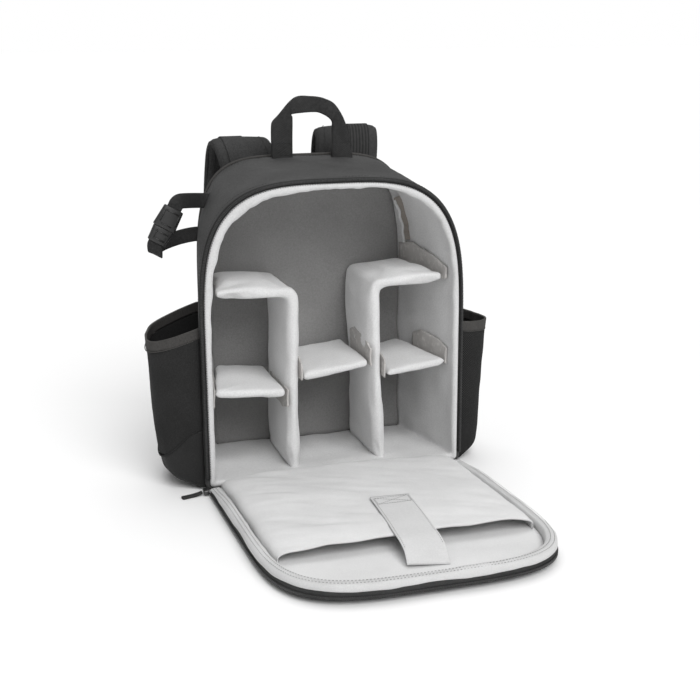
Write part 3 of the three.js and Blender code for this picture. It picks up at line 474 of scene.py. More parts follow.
def standing(outline: Sequence[Point], y: float) -> Ring:
    """An upright outline as points at a place along Y."""
    return [Vector((x, y, z)) for x, z in outline]


def closing_in(edge: Ring, centre: Vector, rows: int) -> list[Ring]:
    """Rows of points from an edge to its centre."""
    return [[p.lerp(centre, k / rows) for p in edge] for k in range(rows + 1)]


def placed(name: str, data: bpy.types.ID) -> bpy.types.Object:
    """Puts a new object in the scene.

    Args:
        name: its name.
        data: its mesh, light or camera.

    Returns:
        The object.
    """
    made = bpy.data.objects.new(name, data)
    bpy.context.scene.collection.objects.link(made)
    return made


@dataclass
class Workshop:
    """Makes Blender objects out of meshes, fixes them to the root body and hides the CAD nodes that they
    replace.
    """

    made: int = 0

    def piece(
        self, name: str, bm: bmesh.types.BMesh, finish: Finish, nodes: Sequence[str] = ()
    ) -> bpy.types.Object:
        """Turns a bmesh into a piece of the bag.

        Args:
            name: the piece's name.
            bm: its mesh, which is freed.
            finish: its finish.
            nodes: the CAD nodes that it replaces.

        Returns:
            The object.
        """
        mesh = bpy.data.meshes.new(name)
        bm.to_mesh(mesh)
        bm.free()
        mesh.materials.append(finish.material())
        mesh.polygons.foreach_set("use_smooth", [True] * len(mesh.polygons))
        piece = placed(name, mesh)
        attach(piece, "root")
        if nodes:
            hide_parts(*nodes)
        self.made += 1
        LOG.info("%s has %d faces", name, len(mesh.polygons))
        return piece

    def band(
        self,
        name: str,
        path: Ring,
        sides: Ring,
        outline: list[Point],
        finish: Finish,
        nodes: Sequence[str] = (),
    ) -> None:
        """Adds a tape, a strap or a seam.

        Args:
            name: the piece's name.
            path: the points that it follows.
            sides: the way across at each of them, or one way for all.
            outline: its outline, as pairs across and along the normal.
            finish: its finish.
            nodes: the CAD nodes that it replaces.
        """
        ways = sides * len(path) if len(sides) == 1 else sides
        rings = sweep(path, lambda i: ways[i], lambda i: outline)
        self.piece(name, tube(rings), finish, nodes)

    def sew(self, name: str, spots: Sequence[Spot], size: Sequence[float], finish: Finish) -> None:
        """Adds stitches, whose size is their length, width and height in millimetres."""
        length, width, high = size
        self.piece(name, grains(spots, (length * MM, width * MM, high * MM), True), finish)

    def cloth(
        self,
        name: str,
        bm: bmesh.types.BMesh,
        height: Callable[[Vector], float],
        finish: Finish,
        nodes: Sequence[str],
        thick: float,
    ) -> bpy.types.Object:
        """Adds a sheet of cloth, which already faces outwards.

        Args:
            name: the piece's name.
            bm: the sheet.
            height: how far its folds stand out at a point.
            finish: its finish.
            nodes: the CAD nodes that it replaces.
            thick: its thickness.

        Returns:
            The object.
        """
        ruffle(bm, height)
        piece = self.piece(name, bm, finish, nodes)
        self.thicken(piece, thick)
        return piece

    def thicken(self, piece: bpy.types.Object, thickness: float) -> None:
        """Gives a sheet its thickness, inwards."""
        solid = piece.modifiers.new("thickness", "SOLIDIFY")
        solid.thickness = thickness
        solid.offset = -1.0

    def round_off(self, piece: bpy.types.Object) -> None:
        """Rounds a piece with a subdivision surface."""
        soft = piece.modifiers.new("rounding", "SUBSURF")
        soft.levels = 1
        soft.render_levels = 1


def loft(rings: Sequence[Ring], closed: bool = False) -> bmesh.types.BMesh:
    """Lays a grid of cloth through rows of points.

    Args:
        rings: rows with the same number of points each.
        closed: whether each row joins its own start, and the two end rows are filled.

    Returns:
        The mesh, with its cloth map in metres.
    """
    rows, count = len(rings), len(rings[0]) + (1 if closed else 0)
    bm = bmesh.new()
    layer = bm.loops.layers.uv.new(CLOTH_MAP)
    bmesh.ops.create_grid(bm, x_segments=count - 1, y_segments=rows - 1, size=0.5, calc_uvs=True)
    steps = [(b - a).length for a, b in zip(rings[rows // 2], rings[rows // 2][1:])]
    width = sum(steps) + ((rings[rows // 2][0] - rings[rows // 2][-1]).length if closed else 0)
    length = sum((b[0] - a[0]).length for a, b in zip(rings, rings[1:]))
    middle = count // 2
    length = 0.5 * length + 0.5 * sum((b[middle] - a[middle]).length for a, b in zip(rings, rings[1:]))
    for face in bm.faces:
        for loop in face.loops:
            loop[layer].uv = (loop[layer].uv[0] * width, loop[layer].uv[1] * length)
    for vert in bm.verts:
        i = round((vert.co.x + 0.5) * (count - 1))
        j = round((vert.co.y + 0.5) * (rows - 1))
        vert.co = rings[j][i % len(rings[0])]
    bmesh.ops.remove_doubles(bm, verts=bm.verts, dist=2e-6)
    if closed:
        bmesh.ops.holes_fill(bm, edges=[edge for edge in bm.edges if edge.is_boundary], sides=0)
    bmesh.ops.recalc_face_normals(bm, faces=bm.faces)
    return bm


def tube(rings: Sequence[Ring]) -> bmesh.types.BMesh:
    """A solid band through closed rings, with both ends filled."""
    return loft(rings, closed=True)


def map_flat(bm: bmesh.types.BMesh, up_axis: int) -> None:
    """Maps a cloth that is cut flat by its own X and one other axis, in metres.

    Args:
        bm: the cloth.
        up_axis: the axis that runs up the cloth, 1 for Y or 2 for Z.
    """
    layer = bm.loops.layers.uv[CLOTH_MAP]
    for face in bm.faces:
        for loop in face.loops:
            loop[layer].uv = (loop.vert.co.x, loop.vert.co[up_axis])


def ruffle(bm: bmesh.types.BMesh, height: Callable[[Vector], float]) -> None:
    """Moves each point of a mesh along its normal.

    Args:
        bm: the mesh.
        height: how far a point moves, in metres.
    """
    bm.normal_update()
    moves = [(vert, vert.normal.copy() * height(vert.co)) for vert in bm.verts]
    for vert, move in moves:
        vert.co += move


def face_out(bm: bmesh.types.BMesh, outward: Callable[[Vector], Vector]) -> None:
    """Turns an open sheet over if most of its faces look the wrong way.

    Args:
        bm: the sheet.
        outward: the wanted direction at a point.
    """
    bm.normal_update()
    score = sum(face.normal.dot(outward(face.calc_center_median())) for face in bm.faces)
    if score < 0:
        bmesh.ops.reverse_faces(bm, faces=bm.faces)
        bm.normal_update()


def path_frames(path: Sequence[Vector], side: Callable[[int], Vector]) -> list[Spot]:
    """The direction, the way across and the normal at each point of a path."""
    frames = []
    for i, _ in enumerate(path):
        before, after = path[max(0, i - 1)], path[min(len(path) - 1, i + 1)]
        forward = (after - before).normalized()
        across = side(i)
        across = (across - forward * across.dot(forward)).normalized()
        frames.append((forward, across, forward.cross(across)))
    return frames


def sweep(
    path: Sequence[Vector], side: Callable[[int], Vector], outline: Callable[[int], list[Point]]
) -> list[Ring]:
    """Rings of an outline that follows a path.

    Args:
        path: the points to follow.
        side: the way across at each point.
        outline: pairs across and along the normal, at each point.

    Returns:
        One ring for each point of the path.
    """
    frames = path_frames(path, side)
    return [
        [at + across * a + normal * b for a, b in outline(i)]
        for i, (at, (_, across, normal)) in enumerate(zip(path, frames))
    ]


def slab(width: float, thick: float, round_share: float = 0.9, steps: int = 8) -> list[Point]:
    """The outline of a flat band with round edges.

    Args:
        width: its full width.
        thick: its full thickness.
        round_share: the edge's radius as a share of half the thickness.
        steps: points along each flat side.

    Returns:
        Pairs across and through the band.
    """
    radius = thick / 2 * round_share
    flat = width / 2 - radius
    points: list[Point] = []
    for way in (1, -1):
        for k in range(steps + 1):
            points.append((way * mix(-flat, flat, k / steps), way * thick / 2))
        for k in range(1, 4):
            turn = math.pi / 2 - math.pi * k / 4
            points.append((way * (flat + radius * math.cos(turn)), way * thick / 2 * math.sin(turn)))
    return points


def grains(spots: Sequence[Spot], size: tuple[float, float, float], rounded: bool) -> bmesh.types.BMesh:
    """Many small copies of one grain, such as teeth or stitches.

    Args:
        spots: for each copy its place, its long direction and its outward direction.
        size: length, width and height of a grain.
        rounded: whether a grain is a smooth bead or a small block.

    Returns:
        All copies as one mesh.
    """
    bm = bmesh.new()
    bm.loops.layers.uv.new(CLOTH_MAP)
    for at, long, out in spots:
        across = out.cross(long).normalized()
        turned = Matrix((long.normalized(), across, long.normalized().cross(across))).transposed()
        place = Matrix.Translation(at) @ turned.to_4x4() @ Matrix.Diagonal((*size, 1.0))
        if rounded:
            bmesh.ops.create_icosphere(bm, subdivisions=1, radius=0.5, matrix=place)
        else:
            bmesh.ops.create_cube(bm, size=1.0, matrix=place)
    return bm


def stitch_spots(path: Sequence[Vector], out: Callable[[Vector], Vector], pitch: float) -> list[Spot]:
    """Places for stitches along a path.

    Args:
        path: the seam.
        out: the way out of the cloth at a point.
        pitch: the distance from stitch to stitch.

    Returns:
        The place, the direction and the way out of each stitch.
    """
    length = sum((b - a).length for a, b in zip(path, path[1:]))
    count = max(2, int(length / pitch))
    spots = evenly(path, count + 1)
    return [((a + b) / 2, b - a, out((a + b) / 2)) for a, b in zip(spots, spots[1:]) if (b - a).length > 1e-6]


@dataclass(frozen=True)
class Arch:
    """A D-shaped outline with a flat foot, upright sides and an arched top."""

    width: float
    height: float
    start: float
    power: float
    foot: float = 9 * MM

    def over(self, inset: float, foot: float, steps: int = 160) -> list[Point]:
        """The line up the right side, round the arch and down the left side."""
        half = self.width / 2 - inset
        rise = self.height - inset - self.start
        sides = 12
        points = [(half, mix(foot, self.start, k / sides)) for k in range(sides)]
        for k in range(steps + 1):
            turn = math.pi * k / steps
            cosine, sine = math.cos(turn), max(math.sin(turn), 0.0)
            across = math.copysign(abs(cosine) ** (2 / self.power), cosine)
            points.append((half * across, self.start + rise * sine ** (2 / self.power)))
        points += [(-half, mix(self.start, foot, (k + 1) / sides)) for k in range(sides)]
        return points

    def loop(self, inset: float) -> list[Point]:
        """The whole outline from the middle of the foot, by the right side, and back."""
        half = self.width / 2 - inset
        floor = max(inset, 0.0)
        foot = max(self.foot - floor, 1 * MM)
        corner = [
            (half - foot + foot * math.sin(t), floor + foot - foot * math.cos(t))
            for t in (math.pi / 2 * k / 6 for k in range(7))
        ]
        sides = self.over(inset, floor + foot)
        flat = [(half * 0.5, floor)]
        left = [(-x, z) for x, z in reversed(flat + corner[:-1])]
        return [(0.0, floor), *flat, *corner[:-1], *sides, *left, (0.0, floor)]


@dataclass(frozen=True)
class BagForm:
    """The bag's body, as the CAD has it."""

    width: float = 289 * MM
    front_y: float = -63 * MM
    tube_rear_y: float = 53 * MM
    rear_y: float = 63 * MM
    front_height: float = 324 * MM
    back_height: float = 337 * MM
    narrowing: float = 20 * MM
    arch_start: float = 155 * MM
    sections: tuple[tuple[float, float], ...] = (
        (0, 0),
        (0.12, 0.06),
        (0.4, 0.34),
        (0.7, 0.67),
        (0.92, 0.93),
        (1, 1.12),
    )

    def arch_at(self, y: float) -> Arch:
        """The D of the body at a place along Y."""
        depth = clamp((y - self.front_y) / (self.tube_rear_y - self.front_y))
        narrow = along_table(self.sections, depth)[0]
        return Arch(
            self.width - 2 * self.narrowing * narrow,
            mix(self.front_height, self.back_height, min(1.0, narrow)),
            self.arch_start,
            mix(3.5, 4.5, depth),
        )

    def loop_at(self, y: float, inset: float, count: int, plane_y: float | None = None) -> Ring:
        """Even points round the body at a place along Y, taken in by inset."""
        level = y if plane_y is None else plane_y
        return evenly(standing(self.arch_at(y).loop(inset), level), count)

    def centre_at(self, y: float) -> Vector:
        """The middle of the body at a place along Y."""
        return Vector((0, y, 0.5 * self.front_height))


FORM = BagForm()


@dataclass
class Studio:
    """The camera, the floor and the lights."""

    target: Vector = field(default_factory=lambda: Vector((15.85, -63.0, 141.2)) * MM)
    distance: float = 1254.5 * MM
    azimuth: float = math.radians(-17.36)
    elevation: float = math.radians(14.71)
    roll: float = math.radians(-0.38)
    lens: float = 60.62
    sensor: float = 36.0
    ambient: float = 0.34
    softness: float = 45.0

    def place_camera(self) -> None:
        """Puts the camera where the photograph was taken from."""
        flat = math.cos(self.elevation)
        back = Vector(
            (math.sin(self.azimuth) * flat, -math.cos(self.azimuth) * flat, math.sin(self.elevation))
        )
        right = UP.cross(back).normalized()
        top = back.cross(right)
        turned_right = right * math.cos(self.roll) + top * math.sin(self.roll)
        turned_top = top * math.cos(self.roll) - right * math.sin(self.roll)
        data = bpy.data.cameras.new("view")
        data.lens = self.lens
        data.sensor_width = self.sensor
        data.sensor_fit = "HORIZONTAL"
        data.clip_start = 0.05
        camera = placed("view", data)
        axes = Matrix((turned_right, turned_top, back)).transposed().to_4x4()
        camera.matrix_world = Matrix.Translation(self.target + back * self.distance) @ axes
        bpy.context.scene.camera = camera

    def light(self, name: str, place: Vector, power: float) -> None:
        """Adds one wide soft light that shines from a place towards the bag."""
        data = bpy.data.lights.new(name, "SUN")
        data.angle = math.radians(self.softness)
        data.energy = power
        lamp = placed(name, data)
        lamp.location = place
        lamp.rotation_euler = place.to_track_quat("Z", "Y").to_euler()

    def build(self) -> None:
        """Makes the floor, the world and the lights."""
        bm = bmesh.new()
        bmesh.ops.create_grid(bm, x_segments=8, y_segments=8, size=60.0)
        mesh = bpy.data.meshes.new("floor")
        bm.to_mesh(mesh)
        bm.free()
        shader = Shader("floor_white")
        place = shader.node("TexCoord").outputs["Object"]
        grain = shader.noise(place, 0.4)
        colour = shader.tint(grain, grey(0.93), grey(0.95))
        mesh.materials.append(shader.finish(colour, grain, 0.0, {"Roughness": 0.8}))
        floor = placed("floor", mesh)
        world = bpy.data.worlds.new("studio")
        bpy.context.scene.world = world
        world.use_nodes = True
        tree = world.node_tree
        ground = tree.nodes["Background"]
        ground.inputs["Color"].default_value = (1.0, 1.0, 1.0, 1.0)
        ground.inputs["Strength"].default_value = self.ambient
        bright = tree.nodes.new("ShaderNodeBackground")
        bright.inputs["Color"].default_value = (1.0, 1.0, 1.0, 1.0)
        bright.inputs["Strength"].default_value = 1.0
        path = tree.nodes.new("ShaderNodeLightPath")
        either = tree.nodes.new("ShaderNodeMixShader")
        tree.links.new(path.outputs["Is Camera Ray"], either.inputs[0])
        tree.links.new(ground.outputs[0], either.inputs[1])
        tree.links.new(bright.outputs[0], either.inputs[2])
        tree.links.new(either.outputs[0], tree.nodes["World Output"].inputs[0])
        self.light("rear_softbox", Vector((0.1, 0.5, 1.3)), 1.0)
        self.light("front_softbox", Vector((0.12, -0.95, 0.95)), 2.2)
        view = bpy.context.scene.view_settings
        view.view_transform = "Standard"
        view.look = "None"
        LOG.info("studio is lit")


@dataclass
class Body:
    """The shell, the back panel, the lining and the zip round the opening."""

    shop: Workshop
    wall: float = 3 * MM
    around: int = 240
    tape: float = 4.5 * MM
    zip_foot: float = 14 * MM
    lining_inset: float = 11.6 * MM

    def build(self) -> None:
        """Makes every part of the body."""
        self.shell()
        self.back_panel()
        self.lining()
        self.back_lining_painted_shade()
        self.zip()
        self.rear_piping()
        self.lip_stitches()

    def shell(self) -> None:
        """The woven outside, from under the zip tape to the back seam."""
        profile = [(7.0, 0.4), (4.0, -0.1), (1.8, 0.0), (0.5, 0.8), (0.0, 2.4)]
        rings = []
        for inset, ahead in profile:
            y = FORM.front_y + ahead * MM
            rings.append(FORM.loop_at(y, inset * MM, self.around))
        for k in range(1, 37):
            y = mix(FORM.front_y + 2.4 * MM, FORM.tube_rear_y - 0.2 * MM, k / 36)
            rings.append(FORM.loop_at(y, 0.0, self.around))
        bm = loft(rings)
        swell = Folds(1.5 * MM, (0.09, 0.07, 0.09), 3.0)
        dent = Folds(0.7 * MM, (0.04, 0.05, 0.035), 8.0)
        crease = Folds(0.5 * MM, (0.05, 0.022, 0.05), 5.0, 0.8)
        pucker = Folds(0.45 * MM, (0.012, 0.06, 0.012), 1.0)

        def height(p: Vector) -> float:
            """How far the shell stands out at a point."""
            front = (p.y - FORM.front_y) / (10 * MM)
            rear = (FORM.tube_rear_y - p.y) / (12 * MM)
            free = ease(front) * ease(rear)
            foot = ease((p.z - 2 * MM) / (25 * MM))
            seam = bell(front - 0.6, 0.7) + bell(rear - 0.5, 0.6)
            return foot * (free * (swell.at(p) + dent.at(p) + crease.at(p)) + seam * pucker.at(p))

        face_out(bm, lambda p: p - FORM.centre_at(p.y))
        self.shop.cloth("body_shell", bm, height, SHELL, ["body_wall"], self.wall)

    def back_panel(self) -> None:
        """The padded back, with sewn channels on its air mesh."""
        rear = FORM.arch_at(FORM.tube_rear_y)
        count, rings = 200, []
        for inset, depth in [(0, 0.4), (0, 3.5), (1.2, 7.0), (5.0, 9.2), (11.0, 10.2)]:
            y = FORM.tube_rear_y + depth * MM
            rings.append(evenly(standing(rear.loop(inset * MM), y), count))
        inner = rings[-1]
        centre = sum(inner, Vector()) / count
        rings += closing_in(inner, centre, 14)[1:]
        bm = loft(rings)
        map_flat(bm, 2)
        channels = (-62 * MM, 62 * MM)

        def height(p: Vector) -> float:
            """How far the panel stands out, with its channels sunk."""
            if p.y < FORM.rear_y - 1.5 * MM:
                return 0.0
            channel = max(bell(abs(p.x - x), 5 * MM) for x in channels)
            lower = bell(abs(p.z - 95 * MM), 5 * MM)
            return -3.2 * MM * max(channel, lower) + 0.8 * MM * noise.noise(p / 0.05)

        face_out(bm, lambda p: Vector((p.x, 0.2, p.z - 0.16)))
        panel = self.shop.cloth("back_pad", bm, height, BACKING, ["back_panel"], 1.5 * MM)
        self.shop.round_off(panel)

    def lining(self) -> None:
        """The inner wall, which rolls over the front edge as a light lip."""
        roll = [
            (11.7, 1.0),
            (11.4, -1.4),
            (10.4, -3.0),
            (8.6, -3.9),
            (6.8, -3.6),
            (5.4, -2.4),
            (4.8, -0.9),
        ]
        corner = Vector((-95 * MM, FORM.front_y, 270 * MM))
        tuck = Folds(1.5 * MM, (0.020, 0.030, 0.020), 2.0)
        fine = Folds(0.6 * MM, (0.009, 0.022, 0.009), 6.0)

        def waved(ring: Ring, share: float) -> Ring:
            """Moves a row towards the middle of the opening, more where the lip is loose."""
            moved = []
            for p in ring:
                inward = (FORM.centre_at(p.y) - p).normalized()
                high = 0.3 + 0.7 * ease((p.z - 150 * MM) / (120 * MM))
                wide = 3.2 * MM * bell((p - corner).length, 70 * MM)
                moved.append(p + inward * share * (high * (tuck.at(p) + fine.at(p)) + wide))
            return moved

        rings = []
        for k in range(31):
            y = mix(FORM.tube_rear_y - 1.2 * MM, FORM.front_y + 4 * MM, k / 30)
            share = ease((FORM.front_y + 16 * MM - y) / (16 * MM))
            rings.append(waved(FORM.loop_at(y, self.lining_inset, self.around + 120), share))
        for (inset, ahead), share in zip(roll, (1.0, 1.0, 0.9, 0.55, 0.2, 0.0, 0.0)):
            plane = FORM.front_y + ahead * MM
            ring = FORM.loop_at(FORM.front_y, inset * MM, self.around + 120, plane)
            rings.append(waved(ring, share))
        bm = loft(rings)
        face_out(bm, lambda p: FORM.centre_at(p.y) - p)
        sag = Folds(1.4 * MM, (0.06, 0.045, 0.06), 11.0)

        def height(p: Vector) -> float:
            """How far the wall's cloth stands out."""
            inside = ease((p.y - FORM.front_y - 2 * MM) / (16 * MM))
            return inside * (sag.at(p) + 0.5 * tuck.at(p))

        self.shop.cloth("lining_cloth", bm, height, LINING, ["lining_wall"], 1.2 * MM)

    def back_lining_painted_shade(self) -> None:
        """The cloth at the back of the inside, in a dark grey that paints the shade falling deep inside the
        bag.
        """
        rear = FORM.arch_at(FORM.tube_rear_y)
        y = FORM.tube_rear_y - 2.0 * MM
        edge = evenly(standing(rear.loop(9.6 * MM), y), 180)
        centre = sum(edge, Vector()) / len(edge)
        bm = loft(closing_in(edge, centre, 22))
        face_out(bm, lambda p: AHEAD)
        swell = Folds(1.0 * MM, (0.06, 0.05, 0.07), 4.0)
        nodes = ["lining_back"]
        self.shop.cloth("back_lining_painted_shade_cloth", bm, lambda p: swell.at(p) * 0.6, BACK_LINING_PAINTED_SHADE, nodes, 1.4 * MM)

    def front_path(self, inset: float, ahead: float, count: int) -> Ring:
        """Even points along the opening's edge."""
        arch = FORM.arch_at(FORM.front_y)
        y = FORM.front_y - ahead
        return evenly(standing(arch.over(inset, self.zip_foot), y), count)

    def zip(self) -> None:
        """The black tape and its teeth round the opening."""
        section = [
            (-0.2, 0.1),
            (0.2, 1.6),
            (1.0, 2.6),
            (2.2, 2.9),
            (3.4, 2.8),
            (4.3, 2.2),
            (4.6, 1.0),
            (4.5, 0.1),
        ]
        paths = [self.front_path(inset * MM, ahead * MM, 300) for inset, ahead in section]
        rings = [list(ring) for ring in zip(*paths)]
        bm = tube(rings)
        self.shop.piece("opening_zip_tape", bm, TAPE, ["zip_tape_body"])
        path = self.front_path(1.9 * MM, 3.4 * MM, 520)
        spots = [(a, (b - a).cross(AHEAD), AHEAD) for a, b in zip(path, path[1:])]
        teeth = grains(spots, (2.5 * MM, 0.95 * MM, 1.2 * MM), False)
        self.shop.piece("opening_zip_teeth", teeth, TEETH_PAINTED_HIGHLIGHT, ["zip_coil_body"])

    def rear_piping(self) -> None:
        """The piped seam between the body and the back panel, and its two seam lines."""
        y, proud, radius = FORM.tube_rear_y + 0.2 * MM, 0.6 * MM, 1.9 * MM
        path = FORM.loop_at(FORM.tube_rear_y, -proud, 260, y)
        path = [p for p in path if p.z > 0]
        lifted = [Vector((p.x, p.y, max(p.z, radius + 0.3 * MM))) for p in path]
        self.shop.band("rear_piping", lifted, [BEHIND], circle(radius, 10), HEM)
        spots = []
        for y in (FORM.front_y + 7 * MM, FORM.tube_rear_y - 6 * MM):
            arch = FORM.arch_at(y)
            path = standing(arch.over(-0.15 * MM, 20 * MM), y)
            spots += stitch_spots(path, lambda p: p - FORM.centre_at(p.y), 3.4 * MM)
        self.shop.sew("shell_stitches", spots, (2.4, 0.6, 0.5), THREAD)

    def lip_stitches(self) -> None:
        """The fine row of stitches between the lip and the tape."""
        path = self.front_path(5.3 * MM, 2.9 * MM, 400)
        spots = stitch_spots(path, lambda p: AHEAD, 2.6 * MM)
        self.shop.sew("lip_stitches", spots, (1.7, 0.6, 0.5), THREAD)


@dataclass
class Padding:
    """Pads that are puffed up by a cloth simulation: dividers and shelves."""

    shop: Workshop
    nodes: dict[str, bpy.types.Object]
    pads: list[tuple[bpy.types.Object, Ring, float]] = field(default_factory=list)
    frames: int = 20
    mass: float = 0.3
    stiffness: float = 8.0
    bending: float = 0.4
    pressure: float = 4.0

    def start(
        self,
        name: str,
        node: str,
        finish: Finish,
        voxel: float,
        shrink: float,
        cap: float,
        held: Callable[[Vector], bool],
        fill: float,
        sunk: float = 0.0,
    ) -> bpy.types.Object:
        """Copies a CAD solid as a sewn case ready to be filled.

        Args:
            name: the pad's name.
            node: the CAD node that it replaces.
            finish: its cloth.
            voxel: the size of its faces.
            shrink: how far the case starts inside the solid.
            cap: how far a point may move.
            held: whether a point is held by a seam.
            fill: how full the pad is; not used.
            sunk: how far its foot runs on below the lining, out of sight.

        Returns:
            The pad.
        """
        bm = merged(self.nodes[node].data)
        foot = min(vert.co.z for vert in bm.verts)
        for vert in bm.verts:
            if vert.co.z < foot + 2 * MM:
                vert.co.z -= sunk
        pad = self.shop.piece(name, bm, finish, [node])
        self.remesh(pad, voxel)
        bm = bmesh.new()
        bm.from_mesh(pad.data)
        for _ in range(3):
            bmesh.ops.smooth_vert(
                bm, verts=bm.verts, factor=0.5, use_axis_x=True, use_axis_y=True, use_axis_z=True
            )
        bm.normal_update()
        for vert in bm.verts:
            vert.co -= vert.normal * shrink
        bm.to_mesh(pad.data)
        bm.free()
        seam = pad.vertex_groups.new(name="seam")
        seam.add([v.index for v in pad.data.vertices if held(v.co)], 1.0, "REPLACE")
        cloth = pad.modifiers.new("filling", "CLOTH")
        cloth.settings.quality = 5
        cloth.settings.mass = self.mass
        cloth.settings.tension_stiffness = self.stiffness
        cloth.settings.compression_stiffness = self.stiffness
        cloth.settings.bending_stiffness = self.bending
        cloth.settings.use_pressure = True
        cloth.settings.uniform_pressure_force = self.pressure
        cloth.settings.effector_weights.gravity = 0.0
        cloth.settings.vertex_group_mass = "seam"
        cloth.collision_settings.use_collision = False
        cloth.collision_settings.use_self_collision = False
        self.pads.append((pad, [v.co.copy() for v in pad.data.vertices], cap))
        return pad

    def remesh(self, piece: bpy.types.Object, size: float) -> None:
        """Covers a piece with even faces.

        Args:
            piece: the piece.
            size: the size of a face, in metres.
        """
        even = piece.modifiers.new("case", "REMESH")
        even.mode = "VOXEL"
        even.voxel_size = size
        self.apply(piece)

    def apply(self, piece: bpy.types.Object) -> None:
        """Makes a piece's mesh what its modifiers give, and takes them off."""
        graph = bpy.context.evaluated_depsgraph_get()
        mesh = bpy.data.meshes.new_from_object(piece.evaluated_get(graph), depsgraph=graph)
        piece.modifiers.clear()
        old = piece.data
        materials = list(old.materials)
        piece.data = mesh
        mesh.materials.clear()
        for material in materials:
            mesh.materials.append(material)
        mesh.polygons.foreach_set("use_smooth", [True] * len(mesh.polygons))
        mesh.name = piece.name

    def fill(self) -> None:
        """Runs the simulation for all pads at once and keeps its result."""
        scene = bpy.context.scene
        for frame in range(1, self.frames + 1):
            scene.frame_set(frame)
        for pad, rest, cap in self.pads:
            self.apply(pad)
            for vert, start in zip(pad.data.vertices, rest):
                move = vert.co - start
                if move.length > cap:
                    vert.co = start + move * (cap / move.length)
            self.shop.round_off(pad)
        scene.frame_set(1)
        LOG.info("%d pads are filled", len(self.pads))

    def crumple(self, folds: Sequence[Folds]) -> None:
        """Adds small folds to the filled pads."""
        for pad, _, _ in self.pads:
            bm = bmesh.new()
            bm.from_mesh(pad.data)
            ruffle(bm, lambda p: sum(fold.at(p) for fold in folds))
            bm.to_mesh(pad.data)
            bm.free()


@dataclass
class Interior:
    """Dividers, shelves and the loop tabs that fasten them."""

    shop: Workshop
    padding: Padding
    nodes: dict[str, bpy.types.Object]
    tab_names: tuple[str, ...] = (
        "tab_arm_left",
        "tab_arm_right",
        "tab_left_wall",
        "tab_left_divider",
        "tab_middle_left",
        "tab_middle_right",
        "tab_right_divider",
        "tab_right_wall",
    )

    def build(self) -> None:
        """Starts the pads and makes the tabs."""
        for side in ("left", "right"):
            low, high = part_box(f"divider_{side}")
            end_x = low[0] if side == "left" else high[0]
            self.padding.start(
                f"padded_divider_{side}",
                f"divider_{side}",
                PAD,
                voxel=4 * MM,
                shrink=1.2 * MM,
                cap=3.0 * MM,
                held=lambda p, x=end_x, z=low[2]: abs(p.x - x) < 5 * MM or p.z < z - 2 * MM,
                fill=0.7,
                sunk=7 * MM,
            )
        for name in ("left", "middle", "right"):
            low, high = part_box(f"shelf_{name}")
            self.padding.start(
                f"padded_shelf_{name}",
                f"shelf_{name}",
                PAD,
                voxel=3 * MM,
                shrink=1.0 * MM,
                cap=3.0 * MM,
                held=lambda p, a=low[0], b=high[0]: p.x < a + 4 * MM or p.x > b - 4 * MM,
                fill=0.8,
            )
        for name in self.tab_names:
            self.tab(name)
        self.seam_strip()

    def tab(self, name: str) -> None:
        """One thin stiff tab, a little curled and frayed."""
        bm = merged(self.nodes[name].data)
        bmesh.ops.dissolve_limit(bm, angle_limit=math.radians(2), verts=bm.verts, edges=bm.edges)
        bmesh.ops.triangulate(bm, faces=bm.faces)
        for _ in range(5):
            long = [edge for edge in bm.edges if edge.calc_length() > 4 * MM]
            if long:
                bmesh.ops.subdivide_edges(bm, edges=long, cuts=1, use_grid_fill=True)
                bmesh.ops.triangulate(bm, faces=bm.faces)
        curl = Folds(0.9 * MM, (0.02, 0.02, 0.02), len(name) * 0.7)
        fray = Folds(0.8 * MM, (0.003, 0.003, 0.003), 2.0)
        ruffle(bm, lambda p: 0.3 * fray.at(p))
        for vert in bm.verts:
            vert.co += Vector((curl.at(vert.co), 0.0, fray.at(vert.co)))
        bm.loops.layers.uv.new(CLOTH_MAP)
        self.shop.piece(f"loop_{name}", bm, TAB, [name])

    def seam_strip(self) -> None:
        """The bound seam high on the right wall: a light edge beside a brownish tape."""
        low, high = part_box("seam_binding")
        depth = mix(low[1], high[1], 0.5)
        wall = standing(FORM.arch_at(depth).over(11.6 * MM, 20 * MM), depth)
        tall = [p for p in wall if p.x > 0 and low[2] <= p.z <= high[2]]
        path = evenly(tall, 40)
        for name, finish, width, thick, beside, proud in (
            ("seam_edge", BINDING, 3.0 * MM, 2.4 * MM, -0.4 * MM, 9.0 * MM),
            ("seam_tape", SEAM_TAPE, 8.0 * MM, 1.5 * MM, 0.0, 4.2 * MM),
        ):
            line, inwards = [], []
            for i, p in enumerate(path):
                inward = Vector((-p.x, 0, 162 * MM - p.z)).normalized()
                wave = Vector((0.5 * MM * math.sin(i * 0.5), 0.9 * MM * math.sin(i * 0.35), 0))
                inwards.append(inward)
                line.append(p + inward * proud + wave + Vector((0, beside, 0)))
            nodes = ["seam_binding"] if name == "seam_tape" else []
            self.shop.band(name, line, inwards, slab(width, thick), finish, nodes)


